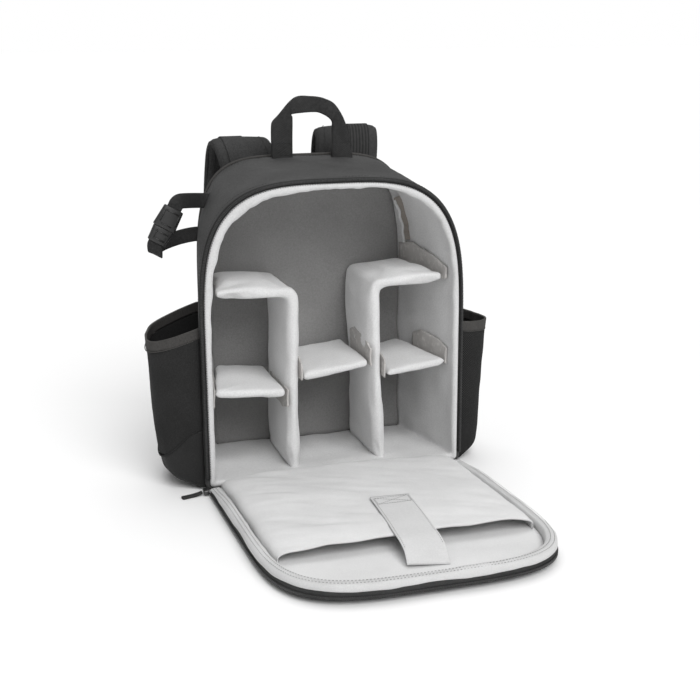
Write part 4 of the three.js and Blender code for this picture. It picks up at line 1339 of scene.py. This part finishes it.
@dataclass
class Flap:
    """The front flap on the floor: underside, zip rim, binding, lining and the flat pocket."""

    shop: Workshop
    padding: Padding
    nodes: dict[str, bpy.types.Object]
    width: float = 279 * MM
    length: float = 297 * MM
    arch_start: float = 148 * MM
    power: float = 3.95
    shift: float = -2.9 * MM
    skew: float = 0.027
    edge_low: float = 1.5 * MM
    edge_high: float = 5 * MM
    panel: float = 5 * MM
    rim_height: float = 7.5 * MM
    rim_rise: float = 90 * MM
    zip_foot: float = 14 * MM
    pocket_inset: float = 12.3 * MM
    pocket_start: float = 8 * MM
    pocket_mouth: float = 216 * MM
    puff: float = 16 * MM
    base: float = 7.1 * MM
    closure_width: float = 40 * MM
    closure_start: float = 134 * MM
    closure_end: float = 263 * MM
    closure_x: float = 12 * MM

    @property
    def arch(self) -> Arch:
        """The flap's outline, measured along the floor."""
        return Arch(self.width, self.length, self.arch_start, self.power)

    def point(self, across: float, along: float, above: float) -> Vector:
        """A point of the flap: across, along from the hinge, and a height above its edge line."""
        edge = mix(self.edge_low, self.edge_high, along / self.length)
        x = across + self.shift + self.skew * along
        return Vector((x, FORM.front_y - 2.6 * MM - along, edge + above))

    def rise(self, along: float) -> float:
        """How high the rim stands at a distance from the hinge."""
        return self.rim_height * mix(0.25, 1, ease(along / self.rim_rise))

    def strip(self, section: Sequence[Point], count: int, tall: bool = True) -> list[Ring]:
        """Rings of a strip that runs round the flap's free edge.

        Args:
            section: pairs of inset and height, the height as a share of the rim where tall is set.
            count: how many rings.
            tall: whether heights are shares of the rim above the panel.

        Returns:
            The rings.
        """
        paths = []
        for inset, high in section:
            points = []
            for x, along in self.arch.over(inset, self.zip_foot):
                above = self.panel + 0.3 * MM + high * self.rise(along) if tall else high
                points.append(self.point(x, along, above))
            paths.append(evenly(points, count))
        return [list(ring) for ring in zip(*paths)]

    def build(self) -> None:
        """Makes every part of the flap."""
        self.underside()
        self.rim()
        self.binding()
        self.lining()
        self.pocket()
        self.closure()

    def underside(self) -> None:
        """The woven outside of the flap, which lies on the floor."""
        bm = merged(self.nodes["flap_panel"].data)
        piece = self.shop.piece("flap_shell", bm, SHELL, ["flap_panel"])
        self.padding.remesh(piece, 2.5 * MM)

    def rim(self) -> None:
        """The black zip tape that stands round the flap, with its teeth low on the outside."""
        section = [
            (0.4 * MM, -0.6),
            (-0.2 * MM, -0.35),
            (-0.3 * MM, 0.0),
            (-0.1 * MM, 0.3),
            (0.8 * MM, 0.5),
            (2.1 * MM, 0.5),
            (2.3 * MM, 0.02),
        ]
        bm = tube(self.strip(section, 300))
        wave = Folds(0.5 * MM, (0.03, 0.03, 0.02), 3.0)
        ruffle(bm, wave.at)
        self.shop.piece("flap_zip_tape", bm, RIM_TAPE, ["flap_rim"])
        low = self.strip([(-0.9 * MM, 0.9 * MM), (-0.9 * MM, 3.3 * MM)], 520, tall=False)
        spots = []
        for (a, top), (b, _) in zip(low, low[1:]):
            out = (b - a).cross(UP)
            middle = Vector((self.shift, FORM.front_y - 0.1, a.z))
            if out.dot(a - middle) < 0:
                out.negate()
            spots.append(((a + top) / 2, top - a, out))
        teeth = grains(spots, (2.5 * MM, 1.0 * MM, 1.3 * MM), False)
        self.shop.piece("flap_zip_teeth", teeth, TEETH_PAINTED_HIGHLIGHT, ["zip_coil_flap"])

    def binding(self) -> None:
        """The light binding inside the rim, sewn with two rows."""
        section = [
            (2.5 * MM, 0.1),
            (0.6 * MM, 0.26),
            (-0.5 * MM, 0.3),
            (-0.9 * MM, 0.42),
            (-0.8 * MM, 0.7),
            (-0.2 * MM, 1.0),
            (1.2 * MM, 1.2),
            (3.0 * MM, 1.28),
            (4.8 * MM, 1.3),
            (6.2 * MM, 1.22),
            (7.6 * MM, 1.25),
            (8.9 * MM, 1.1),
            (9.7 * MM, 0.6),
            (9.8 * MM, 0.0),
        ]
        bm = tube(self.strip(section, 340))
        bulge = Folds(0.4 * MM, (0.016, 0.016, 0.02), 7.0)
        wave = Folds(0.9 * MM, (0.05, 0.05, 0.05), 2.0)
        ruffle(bm, lambda p: bulge.at(p) + wave.at(p))
        self.shop.piece("flap_edge_binding", bm, BINDING, ["flap_binding"])
        spots = []
        for inset, high in [(1.6 * MM, 1.3), (4.9 * MM, 1.38)]:
            path = [ring[0] for ring in self.strip([(inset, high), (inset, high)], 400)]
            spots += stitch_spots(path, lambda p: UP, 3.2 * MM)
        self.shop.sew("flap_binding_stitches", spots, (2.3, 0.65, 0.6), LIGHT_THREAD)

    def lining(self) -> None:
        """The light cloth inside the flap."""
        loop = [self.point(x, along, self.panel + 1.7 * MM) for x, along in self.arch.loop(9.9 * MM)]
        edge = evenly(loop, 200)
        centre = self.point(0, 150 * MM, self.panel + 1.7 * MM)
        bm = loft(closing_in(edge, centre, 26))
        map_flat(bm, 1)
        face_out(bm, lambda p: UP)
        wrinkle = Folds(0.8 * MM, (0.045, 0.02, 0.03), 9.0)
        ruffle(bm, lambda p: wrinkle.at(p) * 0.5 - 0.2 * MM)
        cloth = self.shop.piece("flap_lining_cloth", bm, POCKET, ["flap_lining"])
        self.shop.thicken(cloth, 1.1 * MM)

    def pocket_half(self, along: float) -> float:
        """Half of the pocket's width at a distance from the hinge."""
        rise = self.length - self.pocket_inset - self.arch_start
        share = clamp((along - self.arch_start) / rise)
        half = self.width / 2 - self.pocket_inset
        return half * (1 - share**self.power) ** (1 / self.power)

    def pocket_puff(self, along: float) -> float:
        """How far the pocket stands up at a distance from the hinge."""
        table = ((0, 0.5), (0.05, 0.82), (0.14, 0.96), (0.55, 1), (0.88, 0.96), (1, 0.86))
        share = clamp((along - self.pocket_start) / (self.pocket_mouth - self.pocket_start))
        return self.puff * along_table(table, share)[0]

    def dome(self, along: float, share: float, drop: float = 0.0) -> Vector:
        """A point on the pocket, where share runs from its right side to its left."""
        turn = math.pi * share
        cosine, sine = math.cos(turn), max(math.sin(turn), 0.0)
        half = self.pocket_half(along)
        across = math.copysign(abs(cosine) ** 0.35, cosine)
        return self.point(half * across, along, self.base + (self.pocket_puff(along) - drop) * sine**0.5)

    def pocket(self) -> None:
        """The puffed pocket, with its creases and its hemmed mouth."""
        rings = []
        rows, columns, fine = 74, 110, 200
        tuck = [(0.0, 0.0), (1.0 * MM, 0.3), (3 * MM, 0.62)]
        for ahead, lift in tuck:
            ring = [self.dome(self.pocket_start + ahead, k / columns) for k in range(columns + 1)]
            floor = self.base
            edge = mix(self.edge_low, self.edge_high, self.pocket_start / self.length)
            rings.append([Vector((p.x, p.y, edge + floor + (p.z - edge - floor) * lift)) for p in ring])
        for k in range(1, rows + 1):
            along = mix(self.pocket_start + 3 * MM, self.pocket_mouth, k / rows)
            dense = [self.dome(along, j / fine) for j in range(fine + 1)]
            rings.append(evenly(dense, columns + 1))
        bm = loft(rings)
        face_out(bm, lambda p: UP)
        mouth_y = self.point(0, self.pocket_mouth, 0).y
        hinge_y = self.point(0, self.pocket_start, 0).y
        broad = Folds(2.2 * MM, (0.10, 0.045, 0.05), 5.0)
        diagonal = Folds(1.5 * MM, (0.055, 0.018, 0.03), 14.0, 0.55)
        small = Folds(0.5 * MM, (0.03, 0.012, 0.02), 21.0)
        hem_wave = Folds(1.8 * MM, (0.04, 0.06, 0.05), 31.0)

        def height(p: Vector) -> float:
            """How far the pocket's creases stand up."""
            slanted = Vector((p.x + 0.5 * p.y, p.y + 0.35 * p.x, p.z))
            side = ease((self.pocket_half(150 * MM) - abs(p.x)) / (25 * MM))
            left = 0.5 + 0.9 * bell(p.x + 90 * MM, 60 * MM) + 0.5 * bell(p.x - 95 * MM, 40 * MM)
            hem = ease((p.y - mouth_y) / (14 * MM))
            rear = ease((hinge_y - p.y) / (14 * MM))
            flat = (0.35 + 0.65 * side) * (broad.at(p) + left * diagonal.at(slanted) + small.at(slanted))
            mouth = (1 - hem) * (hem_wave.at(p) - 0.6 * MM) * side
            return flat * mix(0.4, 1.0, hem) * (0.4 + 0.6 * rear) + mouth

        self.shop.cloth("tablet_pocket_cloth", bm, height, POCKET, ["flap_pocket"], 1.4 * MM)
        self.hem(height)

    def hem(self, height: Callable[[Vector], float]) -> None:
        """The folded hem at the pocket's mouth."""
        outer, under = [], []
        steps, radius = 160, 1.25 * MM
        for j in range(steps + 1):
            share = mix(0.012, 0.988, j / steps)
            for line, drop in ((outer, -0.4 * MM), (under, 1.6 * MM)):
                p = self.dome(self.pocket_mouth + 0.5 * MM, share, drop)
                line.append(p + UP * height(p))
        rings = []
        for top, low in zip(evenly(outer, steps + 1), evenly(under, steps + 1)):
            middle = (top + low) / 2
            rings.append([middle + Vector((0, a, b)) for a, b in circle(radius, 8)])
        self.shop.piece("pocket_mouth_hem", tube(rings), POCKET)

    def closure(self) -> None:
        """The wide strip that closes the pocket, sewn down at its upper end."""
        lines = []
        after = self.closure_end - self.pocket_mouth
        crest = self.pocket_puff(self.pocket_mouth)
        sewn = self.pocket_mouth - self.closure_start
        table = [(self.closure_start + sewn * k / 6, None) for k in range(7)]
        table += [
            (self.pocket_mouth + after * 0.35, crest * 0.95),
            (self.pocket_mouth + after * 0.68, crest * 0.7),
            (self.pocket_mouth + after * 0.86, crest * 0.36),
            (self.closure_end, 0.3 * MM),
        ]
        for i, (along, above) in enumerate(table):
            lift = self.pocket_puff(along) + 1.2 * MM if above is None else above + 0.9 * MM
            x = mix(self.closure_x, 0, i / (len(table) - 1))
            lines.append((along, x, lift))
        path, steps = [], 60
        for k in range(steps + 1):
            spot = mix(self.closure_start, self.closure_end, k / steps)
            x, lift = along_table(lines, spot)
            path.append(self.point(x, spot, self.base + lift))
        path = evenly(path, steps + 1)
        outline = slab(self.closure_width, 1.7 * MM, 0.9, 14)
        rings = sweep(path, lambda i: ACROSS, lambda i: outline)
        bm = tube(rings)
        ripple = Folds(0.7 * MM, (0.03, 0.03, 0.03), 4.0)
        ruffle(bm, lambda p: 0.3 * ripple.at(p))
        self.shop.piece("closure_strip", bm, CLOSURE, ["closure_strap"])
        half = self.closure_width / 2 - 3 * MM
        corners = []
        for x_share, k in [(-1, 2), (1, 2), (1, 9), (-1, 9), (-1, 2), (1, 9), (1, 2), (-1, 9)]:
            corners.append(path[k] + Vector((x_share * half, 0, 1.15 * MM)))
        spots = []
        for a, b in zip(corners, corners[1:]):
            spots += stitch_spots([a, b], lambda p: UP, 2.6 * MM)
        for side in (-1, 1):
            rail = [p + Vector((side * (half + 1 * MM), 0, 0)) + UP * 1.05 * MM for p in path[2:52]]
            spots += stitch_spots(rail, lambda p: UP, 3.0 * MM)
        self.shop.sew("closure_stitches", spots, (1.9, 0.6, 0.5), LIGHT_THREAD)


@dataclass
class SidePocket:
    """A pouch on the side of the bag."""

    shop: Workshop
    name: str
    side: float
    bulge: float
    top: float
    drop: float
    seam: float
    seam_drop: float
    finish: Finish
    bottom: float = 3 * MM
    front: float = -57 * MM
    rear: float = 47 * MM
    hem_height: float = 11 * MM
    roundness: float = 2.5
    columns: int = 72

    def point(self, share: float, z: float, proud: float = 0.0) -> Vector:
        """A point of the pouch, where share runs from the front seam to the rear one."""
        table = ((0, 0.2), (0.045, 0.6), (0.11, 0.77), (0.5, 0.9), (1, 1))
        reach = self.bulge * along_table(table, (z - self.bottom) / (self.top + self.drop - self.bottom))[0]
        eased = math.sin((share * 2 - 1) * math.pi / 2)
        out = max(1 - abs(eased) ** self.roundness, 0.0) ** (1 / self.roundness)
        y = mix(self.front, self.rear, (eased + 1) / 2)
        arch = FORM.arch_at(y)
        seat = mix(-2.2 * MM, 0.5 * MM, clamp(out * 3))
        return Vector((self.side * (arch.width / 2 + (reach + proud) * out + seat), y, z))

    def level(self, line: Callable[[float], float], share: float) -> float:
        """The height of a slanted line where it crosses the pouch."""
        z = line(0.0)
        for _ in range(4):
            out = abs(self.point(share, z).x) - FORM.width / 2
            z = line(clamp(out / self.bulge, -0.3, 1.2))
        return z

    def top_line(self, out: float) -> float:
        """The pouch's upper edge, by the share of its bulge."""
        return self.top - self.drop * out

    def seam_line(self, out: float) -> float:
        """The seam between the pouch and its base panel."""
        flat = self.seam - self.seam_drop * 0.06
        if out < 0.2:
            return mix(self.seam, flat, clamp(out / 0.2))
        return mix(flat, self.seam - self.seam_drop, (out - 0.2) / 0.65)

    def panel(
        self, low: Callable[[float], float], high: Callable[[float], float], rows: int, proud: float
    ) -> list[Ring]:
        """Rows of points between two lines on the pouch."""
        shares = [k / self.columns for k in range(self.columns + 1)]
        ends = [(share, low(share), high(share)) for share in shares]
        return [[self.point(s, mix(a, b, j / rows), proud) for s, a, b in ends] for j in range(rows + 1)]

    def tucked(self, ring: Ring, depth: float, lift: float) -> Ring:
        """Takes a row of points in under the bag, most at its middle.

        Args:
            ring: the row.
            depth: how far its middle moves in.
            lift: how far the row is raised.

        Returns:
            The new row.
        """
        moved = []
        for k, p in enumerate(ring):
            inward = self.side * depth * math.sin(math.pi * k / self.columns)
            moved.append(p - Vector((inward, 0, -lift)))
        return moved

    def build(self) -> None:
        """Makes the pouch, its base panel and its hem."""
        folds = [
            Folds(1.6 * MM, (0.05, 0.03, 0.10), 3.0 + self.side),
            Folds(0.8 * MM, (0.03, 0.014, 0.05), 6.0 + self.side, 0.6),
            Folds(0.4 * MM, (0.02, 0.02, 0.02), 9.0),
        ]

        def top(share: float) -> float:
            """The pouch's upper edge."""
            return self.level(self.top_line, share)

        def hem(share: float) -> float:
            """The lower edge of its hem."""
            return top(share) - self.hem_height

        def foot(share: float) -> float:
            """The pouch's lower edge."""
            return self.bottom

        def seam(share: float) -> float:
            """The lower edge of its upper panel."""
            return self.level(self.seam_line, share) if self.seam else self.bottom

        def height(p: Vector) -> float:
            """How far the pouch's folds stand out."""
            edge = ease((p.y - self.front) / (12 * MM)) * ease((self.rear - p.y) / (12 * MM))
            return edge * sum(fold.at(p) for fold in folds)

        upper = self.panel(seam, hem, 46, 0.0)
        if not self.seam:
            upper.insert(0, self.tucked(upper[0], 14 * MM, 1 * MM))
        self.cloth(self.name, upper, height, self.finish, [self.name], 1.4 * MM)
        if self.seam:
            base = self.panel(foot, seam, 26, 0.0)
            base.insert(0, self.tucked(base[0], 8 * MM, 0.0))
            name = f"{self.name}_base"
            # The base panel and the seam bead use the darker copies of the shell canvas, painted shade for
            # the shaded side.
            self.cloth(name, base, lambda p: 0.6 * height(p), SHELL_BASE_PAINTED_SHADE, [name], 1.4 * MM)
            self.bead(f"{self.name}_seam", seam, 0.9 * MM, POUCH_PAINTED_SHADE)
        strip = self.panel(hem, top, 6, 0.6 * MM)
        self.cloth(f"{self.name}_hem", strip, height, HEM, [f"{self.name}_hem"], 2.2 * MM)
        self.bead(f"{self.name}_hem_line", hem, 0.5 * MM, HEM, 0.5 * MM)

    def cloth(
        self,
        name: str,
        rings: list[Ring],
        height: Callable[[Vector], float],
        finish: Finish,
        nodes: list[str],
        thick: float,
    ) -> None:
        """One panel of the pouch."""
        bm = loft(rings)
        face_out(bm, lambda p: Vector((self.side, 0, 0)))
        self.shop.cloth(f"{name}_cloth", bm, height, finish, nodes, thick)

    def bead(
        self,
        name: str,
        line: Callable[[float], float],
        radius: float,
        finish: Finish,
        proud: float = 0.6 * MM,
    ) -> None:
        """A narrow raised seam along a line of the pouch."""
        path = [self.point(k / 90, line(k / 90), proud) for k in range(2, 89)]
        self.shop.band(name, path, [UP], circle(radius, 8), finish)


@dataclass
class Carrying:
    """The grab handle, the shoulder straps, the side strap and their fittings."""

    shop: Workshop
    padding: Padding
    nodes: dict[str, bpy.types.Object]
    handle_x: float = 7 * MM
    handle_span: float = 91 * MM
    handle_rise: float = 65 * MM
    handle_leg: float = 23 * MM
    handle_grip: float = 17 * MM
    handle_from_rear: float = 10 * MM
    panel_half: float = 122.1 * MM
    panel_corner: float = 12 * MM
    lower_inset: float = 6 * MM
    lower_width: float = 25 * MM

    def build(self) -> None:
        """Makes everything that the bag is carried or fastened by."""
        self.handle()
        for side in ("left", "right"):
            self.shoulder_strap(side)
            self.lower_fittings(side)
        self.tripod_strap()
        self.slider()

    def handle(self) -> None:
        """The flat webbing handle, folded over at its upper left corner."""
        inner = 1 - 2 * self.handle_leg / self.handle_span
        grip = self.handle_grip / self.handle_rise
        edges = [
            (0.0, -1, -0.12, -inner, -0.12),
            (1.0, -1, 0.56, -inner, 0.55),
            (1.3, -0.84, 0.7, -inner, 0.66),
            (2.0, -0.42, 0.99, -inner * 0.96, 0.99 - grip),
            (2.6, 0, 1.01, 0.04, 1.01 - grip),
            (3.2, 0.32, 0.97, 0.3, 0.96 - grip),
            (3.8, 0.6, 0.85, inner, 0.85 - grip),
            (4.6, 0.87, 0.47, inner, 0.42),
            (5.4, 1, 0, inner, 0),
            (5.7, 1, -0.12, inner, -0.12),
        ]
        y = FORM.tube_rear_y - self.handle_from_rear
        base = FORM.arch_at(y).height
        rings = []
        for k, (ox, oz, ix, iz) in enumerate(sampled(edges, 90)):
            outer = Vector((self.handle_x + ox * self.handle_span / 2, y, base + oz * self.handle_rise))
            near = Vector((self.handle_x + ix * self.handle_span / 2, y, base + iz * self.handle_rise))
            middle, half = (outer + near) / 2, (near - outer) / 2
            ring = []
            for a, b in slab(2.0, 3 * MM, 0.8, 10):
                reach = clamp(a, -1, 1)
                ring.append(middle + half * reach + Vector((0, b + 0.6 * MM * math.sin(k * 0.3) * reach, 0)))
            rings.append(ring)
        bm = tube(rings)
        ripple = Folds(0.5 * MM, (0.03, 0.03, 0.03), 2.0)
        ruffle(bm, ripple.at)
        self.shop.piece("handle_webbing", bm, WEBBING, ["grab_handle"])
        spots = []
        for foot in (-1, 1):
            x = self.handle_x + foot * (self.handle_span / 2 - self.handle_leg / 2)
            half = self.handle_leg / 2 - 2 * MM
            low, high = 3 * MM, 16 * MM
            box = [(-half, low), (half, low), (half, high), (-half, high), (-half, low), (half, high)]
            path = [Vector((x + a, y - 1.8 * MM, base + b)) for a, b in box]
            for a, b in zip(path, path[1:]):
                spots += stitch_spots([a, b], lambda p: AHEAD, 2.4 * MM)
        self.shop.sew("handle_stitches", spots, (1.7, 0.6, 0.5), THREAD)

    def strap_line(self, side: str) -> list[Station]:
        """The strap's middle line, its half width and its half thickness."""
        left = side == "left"
        way, x, lift, wide = (-1, 63 * MM, 56 * MM, 64 * MM) if left else (1, 62 * MM, 66 * MM, 71 * MM)
        top, reach, fall, toe_out, thick = 294 * MM, 54 * MM, 168 * MM, 26 * MM, 11 * MM
        table = [
            (0, 0, -0.25 * lift, -0.4, 0.94, 0.6),
            (1, 0.04, 0.3 * lift, -0.3, 0.97, 0.9),
            (2, 0.2, 0.76 * lift, -0.15, 1, 1),
            (3, 0.5, lift, 0, 1, 1),
            (4, 0.82, 0.86 * lift, 0.05, 1, 1),
            (5, 1, 0.42 * lift, 0.1, 1, 1),
            (6, 0.96, -0.12 * fall, 0.25, 1, 1),
            (7, 0.8, -0.45 * fall, 0.6, 0.96, 1),
            (8, 0.6, -0.8 * fall, 0.9, 0.84, 0.95),
            (9, 0.5, -fall, 1, 0.62, 0.7),
        ]
        line = []
        for out, rise, toe, width, thin in sampled(table, 108):
            y = FORM.rear_y + 0.3 * MM + thick / 2 * thin + reach * out
            at = Vector((way * (x + toe_out * toe), y, top + rise))
            line.append((at, wide / 2 * width, thick / 2 * thin))
        return line

    def crown(self, share: float) -> float:
        """How thick a strap is, by the share of its half width from its middle line."""
        return 0.3 + 0.7 * max(1 - abs(share) ** 3.2, 0.0) ** 0.5

    def shoulder_strap(self, side: str) -> None:
        """One padded strap with a binding along both edges and rows of stitches."""
        line = self.strap_line(side)
        path = [at for at, _, _ in line]

        def outline(i: int) -> list[Point]:
            """The padded outline, domed on both faces."""
            half, thick = line[i][1], line[i][2]
            points: list[Point] = []
            for way in (1, -1):
                for k in range(25):
                    a = mix(-1, 1, k / 24)
                    points.append((way * a * (half - 0.4 * MM), way * thick * self.crown(a)))
            return points

        bm = tube(sweep(path, lambda i: ACROSS, outline))
        swell = Folds(1.0 * MM, (0.05, 0.05, 0.04), 5.0)
        ruffle(bm, swell.at)
        pad = self.shop.piece(f"padded_strap_{side}", bm, STRAP, [f"shoulder_strap_{side}"])
        for edge in (-1, 1):
            rail = [at + ACROSS * edge * (half - 1.2 * MM) for at, half, _ in line]
            name = f"strap_binding_{side}_{'outer' if edge < 0 else 'inner'}"
            self.shop.band(name, rail, [ACROSS], slab(5.4 * MM, 5.2 * MM, 1.0, 3), WEBBING)
        frames = path_frames(path, lambda i: ACROSS)
        self.strap_tape(side, line, frames)
        spots = []
        for edge in (-1, 1):
            for face in (-1, 1):
                rail, ways = [], []
                for (at, half, thick), (_, wide, normal) in zip(line, frames):
                    a = 1 - 9 * MM / half
                    height = thick * self.crown(a) + 0.2 * MM
                    rail.append(at + wide * edge * a * half + normal * face * height)
                    ways.append(normal * face)
                for k in range(len(rail) - 1):
                    spots.append(((rail[k] + rail[k + 1]) / 2, rail[k + 1] - rail[k], ways[k]))
        self.shop.sew(f"strap_stitches_{side}", spots, (2.4, 0.7, 0.6), THREAD)

    def strap_tape(self, side: str, line: list[Station], frames: list[Spot]) -> None:
        """The tape that is sewn down the strap's outer face, ribbed on the right strap."""
        way = -1 if side == "left" else 1
        from_edge, width = 10 * MM, 25 * MM
        path = []
        for (at, half, thick), (_, across, normal) in zip(line[:96], frames):
            path.append(at + across * way * (half - from_edge - width / 2) - normal * (thick + 0.5 * MM))
        outline = slab(width, 1.7 * MM, 0.9, 12)
        rings = sweep(path, lambda i: ACROSS, lambda i: outline)
        bm = tube(rings)
        layer = bm.loops.layers.uv[CLOTH_MAP]
        for face in bm.faces:
            for loop in face.loops:
                loop[layer].uv = loop[layer].uv.yx
        self.shop.piece(f"strap_tape_{side}", bm, STRAP if side == "left" else RIB_TAPE)

    def soft_copy(
        self, name: str, node: str, finish: Finish, width: float, segments: int = 2
    ) -> bpy.types.Object:
        """Copies a CAD solid and rounds its edges."""
        bm = merged(self.nodes[node].data)
        bmesh.ops.dissolve_limit(bm, angle_limit=math.radians(1), verts=bm.verts, edges=bm.edges)
        inner = [edge for edge in bm.edges if len(edge.link_faces) == 2]
        sharp = [edge for edge in inner if edge.calc_face_angle(0) > math.radians(35)]
        bmesh.ops.bevel(
            bm, geom=sharp, offset=width, segments=segments, profile=0.5, affect="EDGES", material=-1
        )
        bm.loops.layers.uv.new(CLOTH_MAP)
        return self.shop.piece(name, bm, finish, [node])

    def lower_fittings(self, side: str) -> None:
        """The ladder lock at the strap's end and the webbing down to the bag's foot."""
        self.soft_copy(f"ladder_frame_{side}", f"ladder_lock_{side}", PLASTIC, 0.7 * MM)
        line = self.strap_line(side)
        end, before = line[-1][0], line[-5][0]
        down = (end - before).normalized()
        way = -1 if side == "left" else 1
        foot_x = way * (self.panel_half - self.panel_corner - self.lower_inset - self.lower_width / 2)
        start = end + down * 4 * MM
        lock_end = end + down * 27 * MM
        sag = Vector((0, 4 * MM, 0))
        stations = [
            (0, *start),
            (1, *(end + down * 14 * MM + Vector((0, 1.5 * MM, 0)))),
            (2, *lock_end),
            (3, *(lock_end.lerp(Vector((foot_x, FORM.rear_y + 2 * MM, 32 * MM)), 0.5) + sag)),
            (4, foot_x, FORM.rear_y + 2.4 * MM, 32 * MM),
            (5, foot_x, FORM.rear_y + 1.4 * MM, 17 * MM),
        ]
        path = evenly([Vector(row) for row in sampled(stations, 80)], 70)
        outline = slab(self.lower_width, 2 * MM, 0.9, 10)
        nodes = [f"lower_webbing_{side}"]
        self.shop.band(f"webbing_{side}", path, [ACROSS], outline, WEBBING, nodes)

    def tripod_strap(self) -> None:
        """The strap on the left side and its fastened buckle."""
        down = Vector((-0.5, 0.02, -0.86)).normalized()
        flat = BEHIND.cross(down).normalized()
        root_x, reach, width = 115 * MM, 42 * MM, 16 * MM

        def spot(out: float, back: float, rise: float) -> Vector:
            """A point of the strap's route beside the bag."""
            return Vector((-(root_x + reach * out), mix(-2, 45, back) * MM, (295 + rise) * MM))

        corner = spot(0.85, 0.06, 4)
        top = corner + down * (width / 2 + 0.3 * MM)
        foot = top + down * 40 * MM
        front = [
            (spot(-0.12, 0.6, 0), 0.0),
            (spot(0.15, 0.55, 1), 0.0),
            (spot(0.5, 0.3, 3), 0.0),
            (spot(0.78, 0.1, 4), 0.25),
            (corner + down * 2 * MM, 0.7),
            (corner + down * width * 0.35, 1.0),
            (top + down * 2.5 * MM, 1.0),
        ]
        rear = [
            (foot - down * 2.5 * MM, 1.0),
            (foot + down * 3 * MM, 1.0),
            (spot(1.42, 0.3, -52), 1.0),
            (spot(1.3, 0.75, -47), 0.7),
            (spot(0.8, 1.02, -42), 0.15),
            (spot(0.3, 1, -38), 0.0),
            (spot(-0.1, 0.9, -38), 0.0),
        ]
        for end, stations in (("front", front), ("rear", rear)):
            table = [(i, *at, turn) for i, (at, turn) in enumerate(stations)]
            rows = sampled(table, 80)
            path = [Vector(row[:3]) for row in rows]
            sides = [UP.lerp(flat, clamp(row[3])) for row in rows]
            outline = slab(width, 2 * MM, 0.9, 8)
            nodes = [f"tripod_strap_{end}"]
            self.shop.band(f"webbing_tripod_{end}", path, sides, outline, WEBBING, nodes)
        for half in ("socket", "plug"):
            self.soft_copy(f"{half}_shell", f"buckle_{half}", PLASTIC, 0.8 * MM)
        self.buckle_details(top, down, flat)

    def buckle_details(self, top: Vector, down: Vector, flat: Vector) -> None:
        """The raised bars and bridges on both faces of the buckle."""
        out = down.cross(flat)
        bars = [
            (4, 0, 15, 1.6),
            (19, 0, 12, 1.2),
            (28, 0, 15, 1.4),
            (36, 0, 13, 1.8),
        ]
        bridges = [(11, -8.2, 13, 1.6), (11, 8.2, 13, 1.6), (31, -6, 9, 1.2), (31, 6, 9, 1.2)]
        for face in (-1, 1):
            side = "front" if face < 0 else "rear"
            for name, rows, crosswise in (("bars", bars, True), ("bridges", bridges, False)):
                bm = bmesh.new()
                bm.loops.layers.uv.new(CLOTH_MAP)
                for ahead, aside, length, wide in rows:
                    at = top + down * ahead * MM + flat * aside * MM + out * face * 4.1 * MM
                    long, short = (flat, down) if crosswise else (down, flat)
                    axes = Matrix((long, short, long.cross(short))).transposed().to_4x4()
                    size = Matrix.Diagonal((length * MM, wide * MM, 1.1 * MM, 1.0))
                    bmesh.ops.create_cube(bm, size=1.0, matrix=Matrix.Translation(at) @ axes @ size)
                bmesh.ops.bevel(
                    bm, geom=bm.edges[:], offset=0.3 * MM, segments=2, affect="EDGES", material=-1
                )
                self.shop.piece(f"buckle_{name}_{side}", bm, PLASTIC)

    def slider(self) -> None:
        """The zip slider with its bridge, and the woven pull."""
        self.soft_copy("slider_body", "zip_slider", METAL, 1.2 * MM, 3)
        bm = merged(self.nodes["zip_pull"].data)
        bmesh.ops.subdivide_edges(bm, edges=bm.edges, cuts=3, use_grid_fill=True)
        bm.loops.layers.uv.new(CLOTH_MAP)
        pull = self.shop.piece("pull_webbing", bm, WEBBING, ["zip_pull"])
        self.shop.round_off(pull)


def main() -> None:
    """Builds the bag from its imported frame."""
    logging.basicConfig(level=logging.INFO, format="%(message)s")
    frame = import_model()
    nodes = frame["nodes"]
    studio = Studio()
    studio.place_camera()
    shop = Workshop()
    padding = Padding(shop, nodes)
    interior = Interior(shop, padding, nodes)
    interior.build()
    padding.fill()
    padding.crumple(
        [
            Folds(1.1 * MM, (0.045, 0.045, 0.045), 3.0),
            Folds(0.5 * MM, (0.014, 0.02, 0.014), 12.0, 0.4),
        ]
    )
    Body(shop).build()
    Flap(shop, padding, nodes).build()
    # The left pouch uses the darker copy of the shell canvas, painted shade for the side turned away from the
    # light.
    SidePocket(
        shop,
        "pocket_left",
        side=-1,
        bulge=59 * MM,
        top=176 * MM,
        drop=19 * MM,
        seam=66 * MM,
        seam_drop=42 * MM,
        finish=POUCH_PAINTED_SHADE,
    ).build()
    SidePocket(
        shop,
        "pocket_right",
        side=1,
        bulge=48 * MM,
        top=161 * MM,
        drop=4 * MM,
        seam=0.0,
        seam_drop=0.0,
        finish=NET,
    ).build()
    Carrying(shop, padding, nodes).build()
    studio.build()
    LOG.info("%d pieces", shop.made)


if __name__ == "__main__":
    main()
